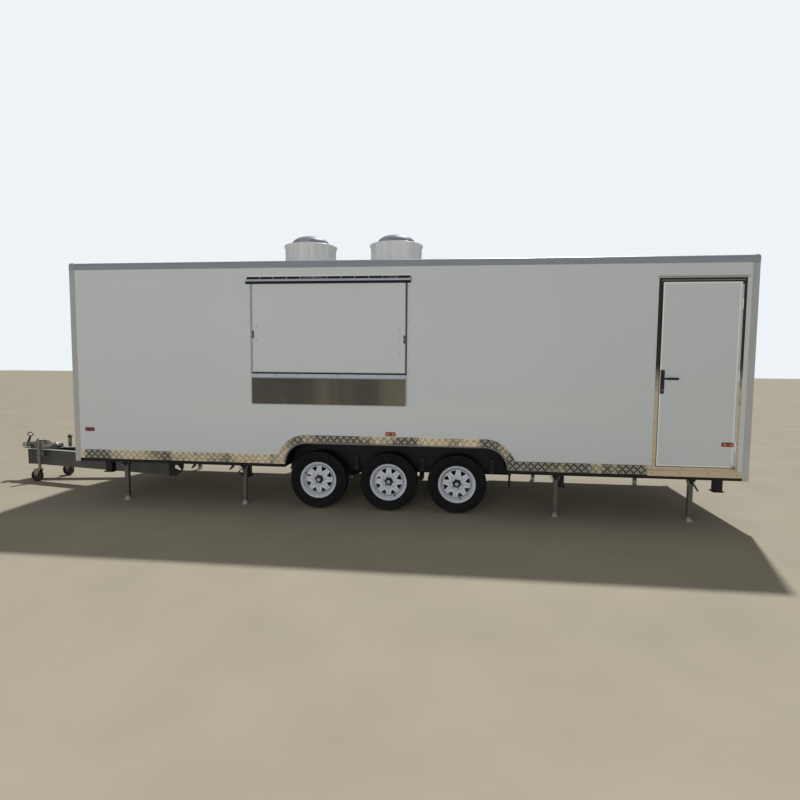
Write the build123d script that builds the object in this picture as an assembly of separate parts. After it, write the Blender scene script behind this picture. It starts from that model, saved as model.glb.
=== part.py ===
from build123d import *
import os
from math import atan2, cos, degrees, hypot, pi, sin

os.makedirs("parts", exist_ok=True)

# Millimetres. +X points to the rear of the trailer, the drawbar is at -X.
# -Y is the serving side, +Z is up and the ground is Z = 0.
# "From the front" is measured from the front face of the body and
# "from the rear" from its rear face.

# Body shell
body_length = 7600.0
body_width = 2200.0
skirt_bottom = 535.0
roof_top = 2835.0
wall = 35.0
roof_thickness = 40.0
floor_thickness = 35.0
floor_top = 625.0
roof_edge_radius = 25.0
trim_gauge = 4.0
roof_trim_height = 76.0
roof_trim_flange = 55.0
corner_trim_width = 66.0
corner_trim_drop = 40.0
running_clearance = 6.0
seat_clearance = 0.3

# Chassis rails, cross members and the saddles on the drawbar
rail_depth = 100.0
rail_width = 50.0
rail_gauge = 6.0
front_member_from_front = 1300.0
rear_member_from_rear = 1200.0
saddle_length = 90.0
saddle_inset = 45.0

# Drawbar and coupling
drawbar_reach = 1690.0
beam_height = 215.0
beam_width = 60.0
beam_gauge = 8.0
beam_bottom = 222.0
beam_rear_from_front = 930.0
beam_spread_rear = 515.0
beam_spread_nose = 75.0
nose_from_front = -1390.0
nose_length = 125.0
nose_gauge = 8.0
nose_side_gap = 4.0
nose_ribs = 3
nose_rib_width = 10.0
nose_rib_proud = 5.0
bed_width = 96.0
bed_front_reach = 122.0
bed_rear_reach = 300.0
bed_gauge = 8.0
ball_from_front = -1641.0
ball_height = 475.0
ball_diameter = 50.0
head_wall = 16.0
head_skirt = 18.0
draw_tube = 54.0
draw_axis_above_ball = 12.0
housing_width = 74.0
housing_length = 380.0
housing_rise = 38.0
housing_slope = 55.0
housing_chamfer = 10.0
bellows_length = 76.0
bellows_folds = 6
bellows_outer = 84.0
bellows_inner = 62.0
hand_loop_length = 92.0
hand_loop_behind_ball = 80.0
hand_loop_height = 62.0
hand_loop_top = 664.0
hand_loop_bar = 14.0
brake_lever_gauge = 8.0
brake_lever_width = 24.0
brake_lever_bend = 120.0
brake_lever_reach = 216.0

# Jockey wheels: place from the front and offset from the centre line
near_jockey_from_front = -1262.0
near_jockey_offset = -200.0
far_jockey_from_front = -1125.0
far_jockey_offset = 225.0
jockey_tube = 50.0
jockey_inner_tube = 40.0
jockey_tube_bottom = 285.0
jockey_tube_top = 588.0
jockey_collar = 18.0
jockey_wheel = 160.0
jockey_wheel_width = 50.0
jockey_web_radius = 50.0
jockey_tread_radius = 56.0
jockey_trail = 42.0
jockey_axle = 16.0
fork_gauge = 5.0
clamp_bottom = 345.0
clamp_height = 60.0
clamp_wall = 9.0

# Wheels, axles and arches
tyre_diameter = 672.0
tyre_width = 190.0
rim_flange = 425.0
rim_seat = 388.0
rim_width = 150.0
rim_gauge = 7.0
rim_lip = 9.0
rim_bead_ledge = 15.0
rim_seat_end = 42.0
rim_well_start = 56.0
rim_well_drop = 18.0
disc_gauge = 8.0
disc_face_radius = 70.0
disc_face_depth = 52.0
disc_crown_radius = 84.0
disc_crown_depth = 38.0
disc_outer_radius = 120.0
disc_outer_depth = 36.0
window_count = 8
window_inner_radius = 93.0
window_outer_radius = 152.0
window_half_width = 30.0
window_corner = 8.0
tyre_bulge_drop = 10.0
tyre_shoulder_lean = 8.0
tyre_shoulder_drop = 24.0
tyre_shoulder_width = 32.0
wheel_inset = 80.0
middle_axle_behind_centre = -12.0
axle_gap_front = 823.0
axle_gap_rear = 783.0
axle_tube = 80.0
trailing_arm = 140.0
arm_thickness = 24.0
arm_boss = 42.0
arm_height = 63.0
arm_tube_boss = 38.0
drum_diameter = 230.0
drum_width = 52.0
drum_flange = 256.0
hub_diameter = 130.0
spindle_diameter = 64.0
arch_lead = 365.0
arch_trail = 549.0
arch_top = 775.0
arch_radius = 250.0
arch_band = 100.0
well_gauge = 12.0
well_depth = 335.0
skirt_strip = 105.0
skirt_gauge = 4.0
flap_gauge = 6.0
flap_bottom = 300.0
flap_behind_well = 25.0
flap_bar = 30.0

# Drop legs and the square stabiliser posts
front_legs_from_front = (535.0, 2045.0)
rear_legs_from_rear = (1930.0, 495.0)
leg_inset = 185.0
leg_tube = 50.0
leg_wall = 4.0
leg_corner = 7.0
leg_pivot_drop = 48.0
leg_pin = 16.0
leg_side_gap = 1.5
foot_plate = 80.0
foot_gauge = 6.0
bracket_length = 115.0
bracket_gauge = 8.0
cheek_gauge = 6.0
cheek_boss = 27.0
front_posts_from_front = (248.0, 2033.0)
rear_posts_from_rear = (1867.0, 175.0)
post_inset = 280.0
post_size = 86.0
post_corner = 8.0
post_bottom = 325.0
post_plate = 116.0
post_plate_gauge = 8.0

# Serving hatch with its rail and hinge strip
hatch_left = 2225.0
hatch_right = 3985.0
hatch_bottom = 1587.0
hatch_top = 2591.0
hatch_thickness = 30.0
hatch_proud = 5.0
hatch_gap = 18.0
hatch_edge = 26.0
hatch_edge_proud = 1.5
frame_lining = 12.0
frame_flange = 20.0
flange_gauge = 3.0
hatch_rail_drop = 10.0
hatch_rail_height = 38.0
hatch_rail_reach = 32.0
hatch_rail_left = 60.0
hatch_rail_right = 50.0
hinge_strip_gap = 12.0
hinge_strip_height = 41.0
hinge_strip_reach = 55.0
hinge_strip_proud = 14.0
hinge_leaf_gauge = 6.0
hatch_pin = 10.0

# Fold-down counter
counter_overlap = 5.0
counter_top = 1525.0
counter_height = 300.0
counter_thickness = 30.0
counter_gauge = 3.0
counter_corner = 14.0
counter_rail_gap = 7.0
counter_rail_height = 39.0
counter_pin = 10.0

# Gas struts of the hatch, in the plane across the trailer
strut_inset = 34.0
strut_eye_drop = 126.0
strut_length = 500.0
strut_barrel = 22.0
strut_rod = 10.0
strut_eye = 18.0
strut_stud = 8.0
strut_barrel_length = 285.0
strut_behind_leaf = 24.0
strut_bracket_height = 45.0
strut_bracket_margin = 5.0

# Entrance door
door_from_rear = 110.0
door_width = 860.0
door_frame_face = 38.0
door_frame_lining = 14.0
door_frame_bottom = 593.0
door_frame_top = 2610.0
door_gap = 6.0
door_thickness = 30.0
door_hinge_rod = 10.0
door_hinge_stand = 9.0
door_hinge_trim = 30.0
sill_overlap = 40.0
sill_drop = 8.0
handle_from_frame = 70.0
handle_bottom = 1405.0
handle_height = 250.0
handle_width = 40.0
handle_gauge = 10.0
handle_lever = 140.0
handle_lever_up = 160.0
handle_stand = 40.0
handle_bar = 20.0
handle_round = 5.0

# Roof vents
first_vent_from_front = 2690.0
second_vent_from_front = 3776.0
vent_inset = 800.0
vent_drum = 630.0
vent_drum_height = 300.0
vent_lip = 656.0
vent_lip_height = 20.0
vent_dome = 470.0
vent_dome_height = 110.0
vent_crown = 80.0
# Each step is a share of the dome's radius and of its height
vent_dome_steps = ((1.0, 0.16), (0.86, 0.55), (0.58, 0.84))
vent_gauge = 3.0
vent_flashing = 30.0

# Lamps
marker_length = 113.0
marker_lens = 41.0
marker_corner = 9.0
marker_base = 5.0
lamp_depth = 14.0
lens_taper = 18.0
red_marker_from_front = 136.0
red_marker_height = 883.0
amber_behind_axle = 35.0
amber_above_band = 11.0
door_lamp_edge = 12.0
door_lamp_height = 881.0
tail_lamp_width = 90.0
tail_lamp_height = 240.0
tail_lamp_corner = 14.0
tail_lamp_base = 12.0
tail_lamp_depth = 28.0
tail_lamp_lenses = 3
tail_lamp_bottom = 695.0
tail_lamp_inset = 150.0
high_lamp_width = 90.0
high_lamp_height = 36.0
high_lamp_drop = 220.0

# Drain pipe between the main rail and the rail beside the wheel well
drain_diameter = 58.0
drain_behind_axle = 360.0
drain_bend = 60.0
drain_height = 338.0
drain_reach = 110.0

# Values worked out from the sizes above
front_x = (drawbar_reach - body_length) / 2
half_width = body_width / 2
rail_top = floor_top - floor_thickness
rail_bottom = rail_top - rail_depth
inner_half = half_width - wall
well_rail_outer = half_width - well_depth - well_gauge
ceiling = roof_top - roof_thickness
beam_top = beam_bottom + beam_height
tyre_radius = tyre_diameter / 2
wheel_middle = half_width - wheel_inset - tyre_width / 2
middle_axle = body_length / 2 + middle_axle_behind_centre
axles_from_front = (middle_axle - axle_gap_front, middle_axle, middle_axle + axle_gap_rear)
arch_front = axles_from_front[0] - arch_lead
arch_rear = axles_from_front[2] + arch_trail
legs_from_front = front_legs_from_front + tuple(body_length - v for v in rear_legs_from_rear)
posts_from_front = front_posts_from_front + tuple(body_length - v for v in rear_posts_from_rear)
leg_y = half_width - leg_inset
leg_pivot_height = rail_bottom - leg_pivot_drop
door_right = body_length - door_from_rear
door_left = door_right - door_width
door_inner_left = door_left + door_frame_face
door_inner_right = door_right - door_frame_face
door_inner_bottom = door_frame_bottom + door_frame_face
door_inner_top = door_frame_top - door_frame_face
sill_left = door_left - sill_overlap
sill_right = door_right + sill_overlap
hatch_rail_bottom = hatch_top - hatch_rail_drop
hatch_rail_top = hatch_rail_bottom + hatch_rail_height
hinge_strip_bottom = hatch_rail_top + hinge_strip_gap
hatch_axis_y = -half_width - hatch_rail_reach + hatch_pin / 2
hatch_axis_z = hatch_rail_top + hatch_pin / 2 + 2 * seat_clearance
strut_y = -half_width - hatch_proud + hatch_thickness + strut_behind_leaf
strut_eye_height = hatch_top - strut_eye_drop
strut_foot_height = strut_eye_height - strut_length
counter_right = hatch_right + counter_overlap
counter_rail_bottom = counter_top + counter_rail_gap
counter_rail_top = counter_rail_bottom + counter_rail_height
counter_rail_y = -half_width - counter_thickness - flange_gauge


# Shapes
def at(from_front):
    """Place along the trailer from its distance behind the body's front face."""
    return front_x + from_front


def block(x0, x1, y0, y1, z0, z1):
    """Box between two corners."""
    middle = ((x0 + x1) / 2, (y0 + y1) / 2, (z0 + z1) / 2)
    return Pos(*middle) * Box(abs(x1 - x0), abs(y1 - y0), abs(z1 - z0))


def rod_x(y, z, radius, x0, x1):
    """Round bar along the trailer."""
    return Pos((x0 + x1) / 2, y, z) * Rot(0, 90, 0) * Cylinder(radius, abs(x1 - x0))


def rod_y(x, z, radius, y0, y1):
    """Round bar across the trailer."""
    return Pos(x, (y0 + y1) / 2, z) * Rot(90, 0, 0) * Cylinder(radius, abs(y1 - y0))


def rod_z(x, y, radius, z0, z1):
    """Upright round bar."""
    return Pos(x, y, (z0 + z1) / 2) * Cylinder(radius, abs(z1 - z0))


def bar_x(outline, x0, x1):
    """Outline of Y and Z drawn out along the trailer."""
    face = make_face(Polyline(*[(x0, y, z) for y, z in outline], close=True))
    return extrude(face, abs(x1 - x0), dir=(1 if x1 > x0 else -1, 0, 0))


def bar_y(outline, y0, y1):
    """Outline of X and Z drawn out across the trailer."""
    face = make_face(Polyline(*[(x, y0, z) for x, z in outline], close=True))
    return extrude(face, abs(y1 - y0), dir=(0, 1 if y1 > y0 else -1, 0))


def turned(outline):
    """Solid turned about the Z axis from an outline of radius and height."""
    return revolve(make_face(Polyline(*[(r, 0, z) for r, z in outline], close=True)), Axis.Z)


def channel(web, flange, z0, z1, gauge):
    """C outline with its web at one side and its flanges reaching to the other."""
    inner = web + (gauge if flange > web else -gauge)
    return (
        (web, z0),
        (flange, z0),
        (flange, z0 + gauge),
        (inner, z0 + gauge),
        (inner, z1 - gauge),
        (flange, z1 - gauge),
        (flange, z1),
        (web, z1),
    )


def rounded_plate(width, length, corner, gauge):
    """Flat plate with rounded corners that stands on the XY plane."""
    return extrude(RectangleRounded(width, length, corner), gauge)


def lens(width, length, corner, base, depth):
    """Lamp on the XY plane: a base with a lens that tapers towards its face."""
    step = base / 2
    solid = rounded_plate(width, length, corner, base)
    face = RectangleRounded(width - 2 * step, length - 2 * step, corner - step)
    return solid + Pos(0, 0, base) * extrude(face, depth - base, taper=lens_taper)


def on_side(side, x, z):
    """Turn that puts the XY plane on a side wall's face, with Y pointing up."""
    return Pos(x, side * half_width, z) * Rot(90 if side < 0 else -90, 0, 0)


def save(name, shape):
    """Write one named sub-part."""
    shape.label = name
    export_step(shape, "parts/" + name + ".step")


def arch_block(grow, y0, y1):
    """Solid of the long wheel arch opening, grown outward all round."""
    solid = block(
        at(arch_front) - grow,
        at(arch_rear) + grow,
        y0,
        y1,
        skirt_bottom - 2 * rail_width,
        arch_top + grow,
    )
    corners = solid.edges().filter_by(Axis.Y).sort_by(Axis.Z)[-2:]
    return fillet(corners, arch_radius + grow)


# Floor and chassis
def build_floor():
    solid = block(at(wall), at(body_length - wall), -inner_half, inner_half, rail_top, floor_top)
    for side in (-1, 1):
        y_edge = side * (inner_half + 1)
        y_well = side * (half_width - well_depth - well_gauge)
        solid -= arch_block(well_gauge, y_edge, y_well)
    save("floor", solid)


def rails():
    """Long rails of channel: outer rails, rails beside the wells and main rails."""
    pieces = []
    spans = ((wall, arch_front - well_gauge), (arch_rear + well_gauge, body_length - wall))
    well_span = (arch_front - well_gauge - rail_width, arch_rear + well_gauge + rail_width)
    for side in (-1, 1):
        # Each row is the outer face of a rail, its start and its end
        rows = [(inner_half, start, end) for start, end in spans]
        rows.append((well_rail_outer, *well_span))
        rows.append((beam_spread_rear, wall, body_length - wall))
        for face, start, end in rows:
            section = channel(
                side * face, side * (face - rail_width), rail_bottom, rail_top, rail_gauge
            )
            pieces.append(bar_x(section, at(start), at(end)))
    return pieces


def cross_members():
    """Channels across the trailer at its ends, wells, legs and saddles."""
    ends = (wall + rail_width / 2, body_length - wall - rail_width / 2)
    wells = (arch_front - well_gauge - rail_width / 2, arch_rear + well_gauge + rail_width / 2)
    middles = (front_member_from_front, body_length - rear_member_from_rear)
    pieces = []
    for place in ends + wells + middles + legs_from_front:
        x0 = at(place) - rail_width / 2
        section = channel(x0, x0 + rail_width, rail_bottom, rail_top, rail_gauge)
        pieces.append(bar_y(section, -inner_half, inner_half))
    return pieces


def leg_bracket(place, side):
    """Top plate, two tapered cheeks and the pin of one drop leg."""
    x = at(place)
    y = side * leg_y
    inner = leg_tube / 2 + leg_side_gap
    outer = inner + cheek_gauge
    top = rail_bottom - bracket_gauge
    half = bracket_length / 2
    pieces = [block(x - half, x + half, y - outer, y + outer, top, rail_bottom)]
    taper = (
        (x - half, top),
        (x + half, top),
        (x + cheek_boss, leg_pivot_height),
        (x - cheek_boss, leg_pivot_height),
    )
    for cheek in (-1, 1):
        y0 = y + cheek * inner
        y1 = y + cheek * outer
        pieces.append(bar_y(taper, y0, y1))
        pieces.append(rod_y(x, leg_pivot_height, cheek_boss, y0, y1))
    pin_end = outer + cheek_gauge
    pieces.append(rod_y(x, leg_pivot_height, leg_pin / 2, y - pin_end, y + pin_end))
    return pieces


def stabiliser_post(place, side):
    """Square post with its base plate and the outrigger that carries it."""
    x = at(place)
    y = side * (half_width - post_inset)
    half = post_size / 2
    tube = rounded_plate(post_size, post_size, post_corner, rail_bottom - post_bottom + 1)
    plate = rounded_plate(post_plate, post_plate, post_corner, post_plate_gauge)
    ends = (wall + rail_width / 2, body_length - wall - rail_width / 2)
    nearest = min(legs_from_front + ends, key=lambda other: abs(other - place))
    low, high = min(place - post_size / 2, nearest), max(place + post_size / 2, nearest)
    return [
        Pos(x, y, post_bottom) * tube,
        Pos(x, y, post_bottom - post_plate_gauge) * plate,
        block(at(low), at(high), y - half, y + half, rail_bottom, rail_top),
    ]


def saddle(place, side):
    """Packing between a drawbar beam and the rails above it."""
    half = saddle_length / 2
    x = at(place)
    y = side * beam_centre(place)
    inner = y - side * beam_width / 2
    rail_face = side * beam_spread_rear
    return [
        block(x - half, x + half, inner, inner + side * beam_width, beam_top, rail_bottom + 1),
        block(x - half, x + half, inner, rail_face, rail_bottom, rail_top),
    ]


def build_chassis():
    pieces = rails() + cross_members()
    for side in (-1, 1):
        for place in legs_from_front:
            pieces += leg_bracket(place, side)
        for place in posts_from_front:
            pieces += stabiliser_post(place, side)
        for place in (wall + saddle_inset, beam_rear_from_front - saddle_inset):
            pieces += saddle(place, side)
    save("chassis_frame", pieces[0] + pieces[1:])


# Drawbar
def beam_centre(from_front):
    """Distance of a beam's centre line from the trailer's centre line."""
    share = (from_front - nose_from_front) / (beam_rear_from_front - nose_from_front)
    return beam_spread_nose + share * (beam_spread_rear - beam_spread_nose)


def turned_beam(side, outline):
    """Outline drawn out along one beam, cut square across the trailer at both ends."""
    run = beam_rear_from_front - nose_from_front
    spread = beam_spread_rear - beam_spread_nose
    x = (at(nose_from_front) + at(beam_rear_from_front)) / 2
    y = side * (beam_spread_nose + beam_spread_rear) / 2
    length = hypot(run, spread) + beam_width
    turn = Rot(0, 0, side * degrees(atan2(spread, run)))
    beam = Pos(x, y, 0) * turn * bar_x(outline, -length / 2, length / 2)
    window = block(
        at(nose_from_front), at(beam_rear_from_front), -half_width, half_width, 0, roof_top
    )
    return beam & window


def beam_channel(side):
    """Drawbar beam of channel with its web to the outside."""
    half = beam_width / 2
    return turned_beam(side, channel(side * half, -side * half, beam_bottom, beam_top, beam_gauge))


def beam_envelope(side):
    """Full block that a drawbar beam fills."""
    half = beam_width / 2
    corners = ((-half, beam_bottom), (half, beam_bottom), (half, beam_top), (-half, beam_top))
    return turned_beam(side, corners)


def build_drawbar():
    save("drawbar_beams", Compound(children=[beam_channel(-1), beam_channel(1)]))
    half = beam_spread_nose + beam_width / 2 + nose_side_gap
    g = nose_gauge
    x1 = at(nose_from_front)
    x0 = x1 - nose_length
    nose = block(x0, x1, -half, half, beam_bottom, beam_top)
    nose -= block(x0 + g, x1 + 1, -half + g, half - g, beam_bottom + g, beam_top - g)
    for side in (-1, 1):
        for index in range(nose_ribs):
            x = x0 + nose_length * (index + 0.5) / nose_ribs
            nose += block(
                x - nose_rib_width / 2,
                x + nose_rib_width / 2,
                side * (half - 1),
                side * (half + nose_rib_proud),
                beam_bottom + g,
                beam_top - g,
            )
    # Bed plate that carries the coupling
    bed_x0 = x0 - bed_front_reach
    bed_x1 = x1 + bed_rear_reach
    bed = rounded_plate(bed_x1 - bed_x0, bed_width, 2 * bed_gauge, bed_gauge)
    save("drawbar_nose", nose + Pos((bed_x0 + bed_x1) / 2, 0, beam_top) * bed)


def coupling_head():
    """Round cap over the tow ball, about the ball's centre."""
    r = ball_diameter / 2 + seat_clearance
    cap = r + head_wall
    flat = cos(pi / 4)
    crown = cap * flat
    outline = [
        Line((0, cap), (head_skirt / 3, cap)),
        ThreePointArc((head_skirt / 3, cap), (crown + 2, crown + 2), (cap, 0)),
        Line((cap, 0), (cap, -head_skirt)),
        Line((cap, -head_skirt), (0, -head_skirt)),
        Line((0, -head_skirt), (0, cap)),
    ]
    socket_outline = [
        Line((0, r), (0, -2 * r)),
        Line((0, -2 * r), (r, -2 * r)),
        Line((r, -2 * r), (r, 0)),
        ThreePointArc((r, 0), (r * flat, r * flat), (0, r)),
    ]
    head = revolve(Rot(90, 0, 0) * make_face(Curve() + outline), Axis.Z)
    socket = revolve(Rot(90, 0, 0) * make_face(Curve() + socket_outline), Axis.Z)
    return head, socket


def bellows():
    """Ribbed boot over the draw tube, along Z from the origin."""
    pitch = bellows_length / bellows_folds
    outline = [(draw_tube / 2 - 1, 0), (bellows_inner / 2, 0)]
    for fold in range(bellows_folds):
        outline.append((bellows_outer / 2, pitch * (fold + 0.5)))
        outline.append((bellows_inner / 2, pitch * (fold + 1)))
    outline.append((draw_tube / 2 - 1, bellows_length))
    return turned(outline)


def build_coupling():
    bed = beam_top + bed_gauge
    x_ball = at(ball_from_front)
    axis_z = ball_height + draw_axis_above_ball
    x1 = at(nose_from_front) + bed_rear_reach - bed_gauge
    x0 = x1 - housing_length
    top = axis_z + housing_rise
    half = housing_width / 2
    side_view = (
        (x0, bed),
        (x1, bed),
        (x1, axis_z),
        (x1 - housing_slope, top),
        (x0 + housing_slope / 2, top),
        (x0, top - housing_slope / 2),
    )
    housing = bar_y(side_view, -half, half)
    top_edges = housing.edges().filter_by(Axis.X).group_by(Axis.Z)[-1]
    housing = chamfer(top_edges, housing_chamfer)
    head, socket = coupling_head()
    boot_x = x0 - bellows_length
    tube = rod_x(0, axis_z, draw_tube / 2, x_ball, x1 + housing_slope / 2)
    boot = Pos(boot_x, 0, axis_z) * Rot(0, 90, 0) * bellows()
    neck = rod_x(0, axis_z, bellows_inner / 2, x_ball + head_wall, boot_x + 1)
    # Hand loop on an arm above the head
    loop = rounded_plate(hand_loop_length, hand_loop_height, hand_loop_height / 2 - 1, hand_loop_bar)
    hole_height = hand_loop_height - 2 * hand_loop_bar
    hole_length = hand_loop_length - 2 * hand_loop_bar
    loop -= rounded_plate(hole_length, hole_height, hole_height / 2 - 1, hand_loop_bar)
    loop_x = x_ball + hand_loop_behind_ball
    loop_z = hand_loop_top - hand_loop_height / 2
    loop_bottom_bar = loop_z - hand_loop_height / 2 + hand_loop_bar / 2
    loop = Pos(loop_x, hand_loop_bar / 2, loop_z) * Rot(90, 0, 0) * loop
    arm_x = x_ball + head_wall
    arm = (
        (arm_x, ball_height + head_wall),
        (arm_x + 2 * hand_loop_bar, ball_height + head_wall),
        (loop_x + hand_loop_bar / 2, loop_bottom_bar),
        (loop_x - hand_loop_bar, loop_bottom_bar),
    )
    handle = loop + bar_y(arm, -hand_loop_bar / 2, hand_loop_bar / 2)
    # Hand brake lever on the serving side of the housing
    w = brake_lever_width
    bend_x = x1 - brake_lever_bend
    tip_x = x1 - brake_lever_reach
    lever_view = (
        (x1 - w, bed),
        (bend_x, top),
        (tip_x, top + w / 2),
        (tip_x, top + w / 2 + w),
        (bend_x, top + w),
        (x1, bed + w / 2),
    )
    lever = bar_y(lever_view, -half, -half - brake_lever_gauge)
    pieces = [tube, boot, neck, head_at(head, x_ball), handle, lever]
    save("coupling", housing + pieces - head_at(socket, x_ball))


def head_at(shape, x):
    """Shape about the ball's centre, at its place."""
    return Pos(x, 0, ball_height) * shape


# Jockey wheels
def jockey_clamp(x, y, side, beam_face):
    """Split ring that clamps the outer tube to a drawbar beam, with its screw and bar."""
    top = clamp_bottom + clamp_height
    middle = (clamp_bottom + top) / 2
    outer = jockey_tube / 2 + clamp_wall
    clamp = rod_z(x, y, outer, clamp_bottom, top)
    clamp += block(x - outer, x + outer, side * (beam_face - beam_width / 2), y, clamp_bottom, top)
    screw_end = x + 2 * outer
    clamp += rod_x(y, middle, clamp_wall, x, screw_end)
    clamp += rod_z(screw_end - clamp_wall, y, clamp_wall * 2 / 3, clamp_bottom, top + clamp_height / 2)
    clamp -= rod_z(x, y, jockey_tube / 2 - 1, clamp_bottom - 1, top + 1)
    return clamp - beam_envelope(side)


def build_jockeys():
    # Each row is the place from the front and the offset from the centre line
    rows = (
        (near_jockey_from_front, near_jockey_offset),
        (far_jockey_from_front, far_jockey_offset),
    )
    tubes = []
    for index, (place, y) in enumerate(rows, 1):
        x = at(place)
        side = 1 if y > 0 else -1
        bore = jockey_inner_tube / 2 + 1
        collar = jockey_tube_top - jockey_collar
        tube = rod_z(x, y, jockey_tube / 2, jockey_tube_bottom, jockey_tube_top)
        tube += rod_z(x, y, jockey_tube / 2 + fork_gauge, collar, jockey_tube_top)
        tube += rod_z(x, y, jockey_axle / 2, jockey_tube_top, jockey_tube_top + jockey_collar)
        tube -= rod_z(x, y, bore, jockey_tube_bottom - 1, collar)
        tubes.append(tube + jockey_clamp(x, y, side, beam_centre(place) + beam_width / 2))

        # Inner tube, crown plate and tapered fork, turning about the upright axis
        wheel_x = x - jockey_trail
        wheel_z = jockey_wheel / 2
        crown = jockey_wheel + running_clearance + 1
        half = jockey_wheel_width / 2 + running_clearance
        outer = half + fork_gauge
        reach = jockey_inner_tube / 2 + running_clearance
        castor = rod_z(x, y, jockey_inner_tube / 2, crown, collar - jockey_collar)
        castor += block(wheel_x - reach, x + reach, y - outer, y + outer, crown, crown + fork_gauge)
        fork_view = (
            (wheel_x - jockey_axle, wheel_z - jockey_axle),
            (wheel_x + jockey_axle, wheel_z - jockey_axle),
            (x + reach, crown + 1),
            (wheel_x - reach, crown + 1),
        )
        for cheek in (-1, 1):
            castor += bar_y(fork_view, y + cheek * half, y + cheek * outer)
        castor += rod_y(wheel_x, wheel_z, jockey_axle / 2, y - outer - fork_gauge, y + outer + fork_gauge)
        save("jockey_castor_" + str(index), castor)
        save("jockey_wheel_" + str(index), Pos(wheel_x, y, wheel_z) * Rot(90, 0, 0) * jockey_roller())
    save("jockey_tubes", Compound(children=tubes))


def jockey_roller():
    """Solid rubber wheel with a recessed web and a hub, about the Z axis."""
    r = jockey_wheel / 2
    half = jockey_wheel_width / 2
    hub = jockey_axle
    web = half / 3
    bore = jockey_axle / 2 + 2 * seat_clearance
    upper = (
        (bore, half),
        (hub, half),
        (hub + web, web),
        (jockey_web_radius, web),
        (jockey_tread_radius, half),
        (r - web, half),
        (r, half - web),
    )
    lower = tuple((radius, -height) for radius, height in reversed(upper))
    return turned(upper + lower)


# Walls and roof
def door_opening(grow, y0, y1):
    """Block of the door frame's outline, shrunk by a negative value."""
    return block(
        at(door_left) - grow,
        at(door_right) + grow,
        y0,
        y1,
        door_frame_bottom - grow,
        door_frame_top + grow,
    )


def hatch_opening(grow, y0, y1):
    """Block of the closed hatch's outline, grown all round."""
    return block(
        at(hatch_left) - grow,
        at(hatch_right) + grow,
        y0,
        y1,
        hatch_bottom - grow,
        hatch_top + grow,
    )


def build_walls():
    near0 = -half_width
    near1 = -inner_half
    service = block(at(0), at(body_length), near0, near1, skirt_bottom, ceiling)
    service -= arch_block(0, near0 - 1, near1 + 1)
    service -= door_opening(-(door_frame_face - door_frame_lining), near0 - 1, near1 + 1)
    service -= hatch_opening(hatch_gap + frame_lining, near0 - 1, near1 + 1)
    save("service_wall", service)

    far = block(at(0), at(body_length), inner_half, half_width, skirt_bottom, ceiling)
    far -= arch_block(0, inner_half - 1, half_width + 1)
    save("far_wall", far)

    save("front_wall", block(at(0), at(wall), -inner_half, inner_half, skirt_bottom, ceiling))
    rear0 = body_length - wall
    save("rear_wall", block(at(rear0), at(body_length), -inner_half, inner_half, skirt_bottom, ceiling))


def roof_shell(grow, bottom):
    """Block of the roof with rounded top edges, grown outward and upward."""
    solid = block(
        at(0) - grow,
        at(body_length) + grow,
        -half_width - grow,
        half_width + grow,
        bottom,
        roof_top + grow,
    )
    top = solid.faces().sort_by(Axis.Z)[-1]
    return fillet(top.edges(), roof_edge_radius + grow)


def build_roof():
    save("roof", roof_shell(0, ceiling))
    bottom = roof_top - roof_trim_height
    trim = roof_shell(trim_gauge, bottom) - roof_shell(0, bottom - 1)
    inner = roof_trim_flange
    trim -= block(
        at(inner),
        at(body_length - inner),
        -half_width + inner,
        half_width - inner,
        bottom,
        roof_top + 2 * trim_gauge,
    )
    save("roof_trim", trim)


def build_corner_trims():
    """Angle trims on the upright corners, from under the skirt to the roof trim."""
    trims = []
    bottom = skirt_bottom - corner_trim_drop
    top = roof_top - roof_trim_height
    for end, inward in ((at(0), 1), (at(body_length), -1)):
        for side in (-1, 1):
            x0 = end - inward * trim_gauge
            x1 = x0 + inward * corner_trim_width
            y0 = side * (half_width + trim_gauge)
            y1 = y0 - side * corner_trim_width
            outline = (
                (x0, y0),
                (x1, y0),
                (x1, y0 - side * trim_gauge),
                (end, y0 - side * trim_gauge),
                (end, y1),
                (x0, y1),
            )
            face = make_face(Polyline(*[(x, y, bottom) for x, y in outline], close=True))
            trim = extrude(face, top - bottom, dir=(0, 0, 1))
            outer_edge = trim.edges().filter_by(Axis.Z).sort_by_distance((x0, y0, (bottom + top) / 2))[0]
            trims.append(fillet(outer_edge, trim_gauge * 0.7))
    save("corner_trims", Compound(children=trims))


def build_skirts():
    """Chequer plate strips with the band round each wheel arch."""
    skirts = []
    start = at(corner_trim_width - trim_gauge + 1)
    for side in (-1, 1):
        y0 = side * half_width
        y1 = side * (half_width + skirt_gauge)
        end = at(sill_left - 1) if side < 0 else at(body_length - corner_trim_width + trim_gauge - 1)
        strip = block(start, end, y0, y1, skirt_bottom, skirt_bottom + skirt_strip)
        band = arch_block(arch_band, y0, y1)
        band -= block(at(0), at(body_length), y0 - side, y1 + side, 0, skirt_bottom)
        skirts.append(strip + band - arch_block(0, y0 - side, y1 + side))
    save("skirts", Compound(children=skirts))


def build_wells():
    wells = []
    for side in (-1, 1):
        outer_y = side * inner_half
        inner_y = side * (half_width - well_depth)
        solid = arch_block(well_gauge, outer_y, inner_y - side * well_gauge)
        solid -= arch_block(0, outer_y + side, inner_y)
        solid -= block(
            at(arch_front) - arch_band,
            at(arch_rear) + arch_band,
            outer_y + side,
            inner_y - side * arch_band,
            0,
            skirt_bottom,
        )
        wells.append(solid)
    save("wheel_wells", Compound(children=wells))


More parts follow.
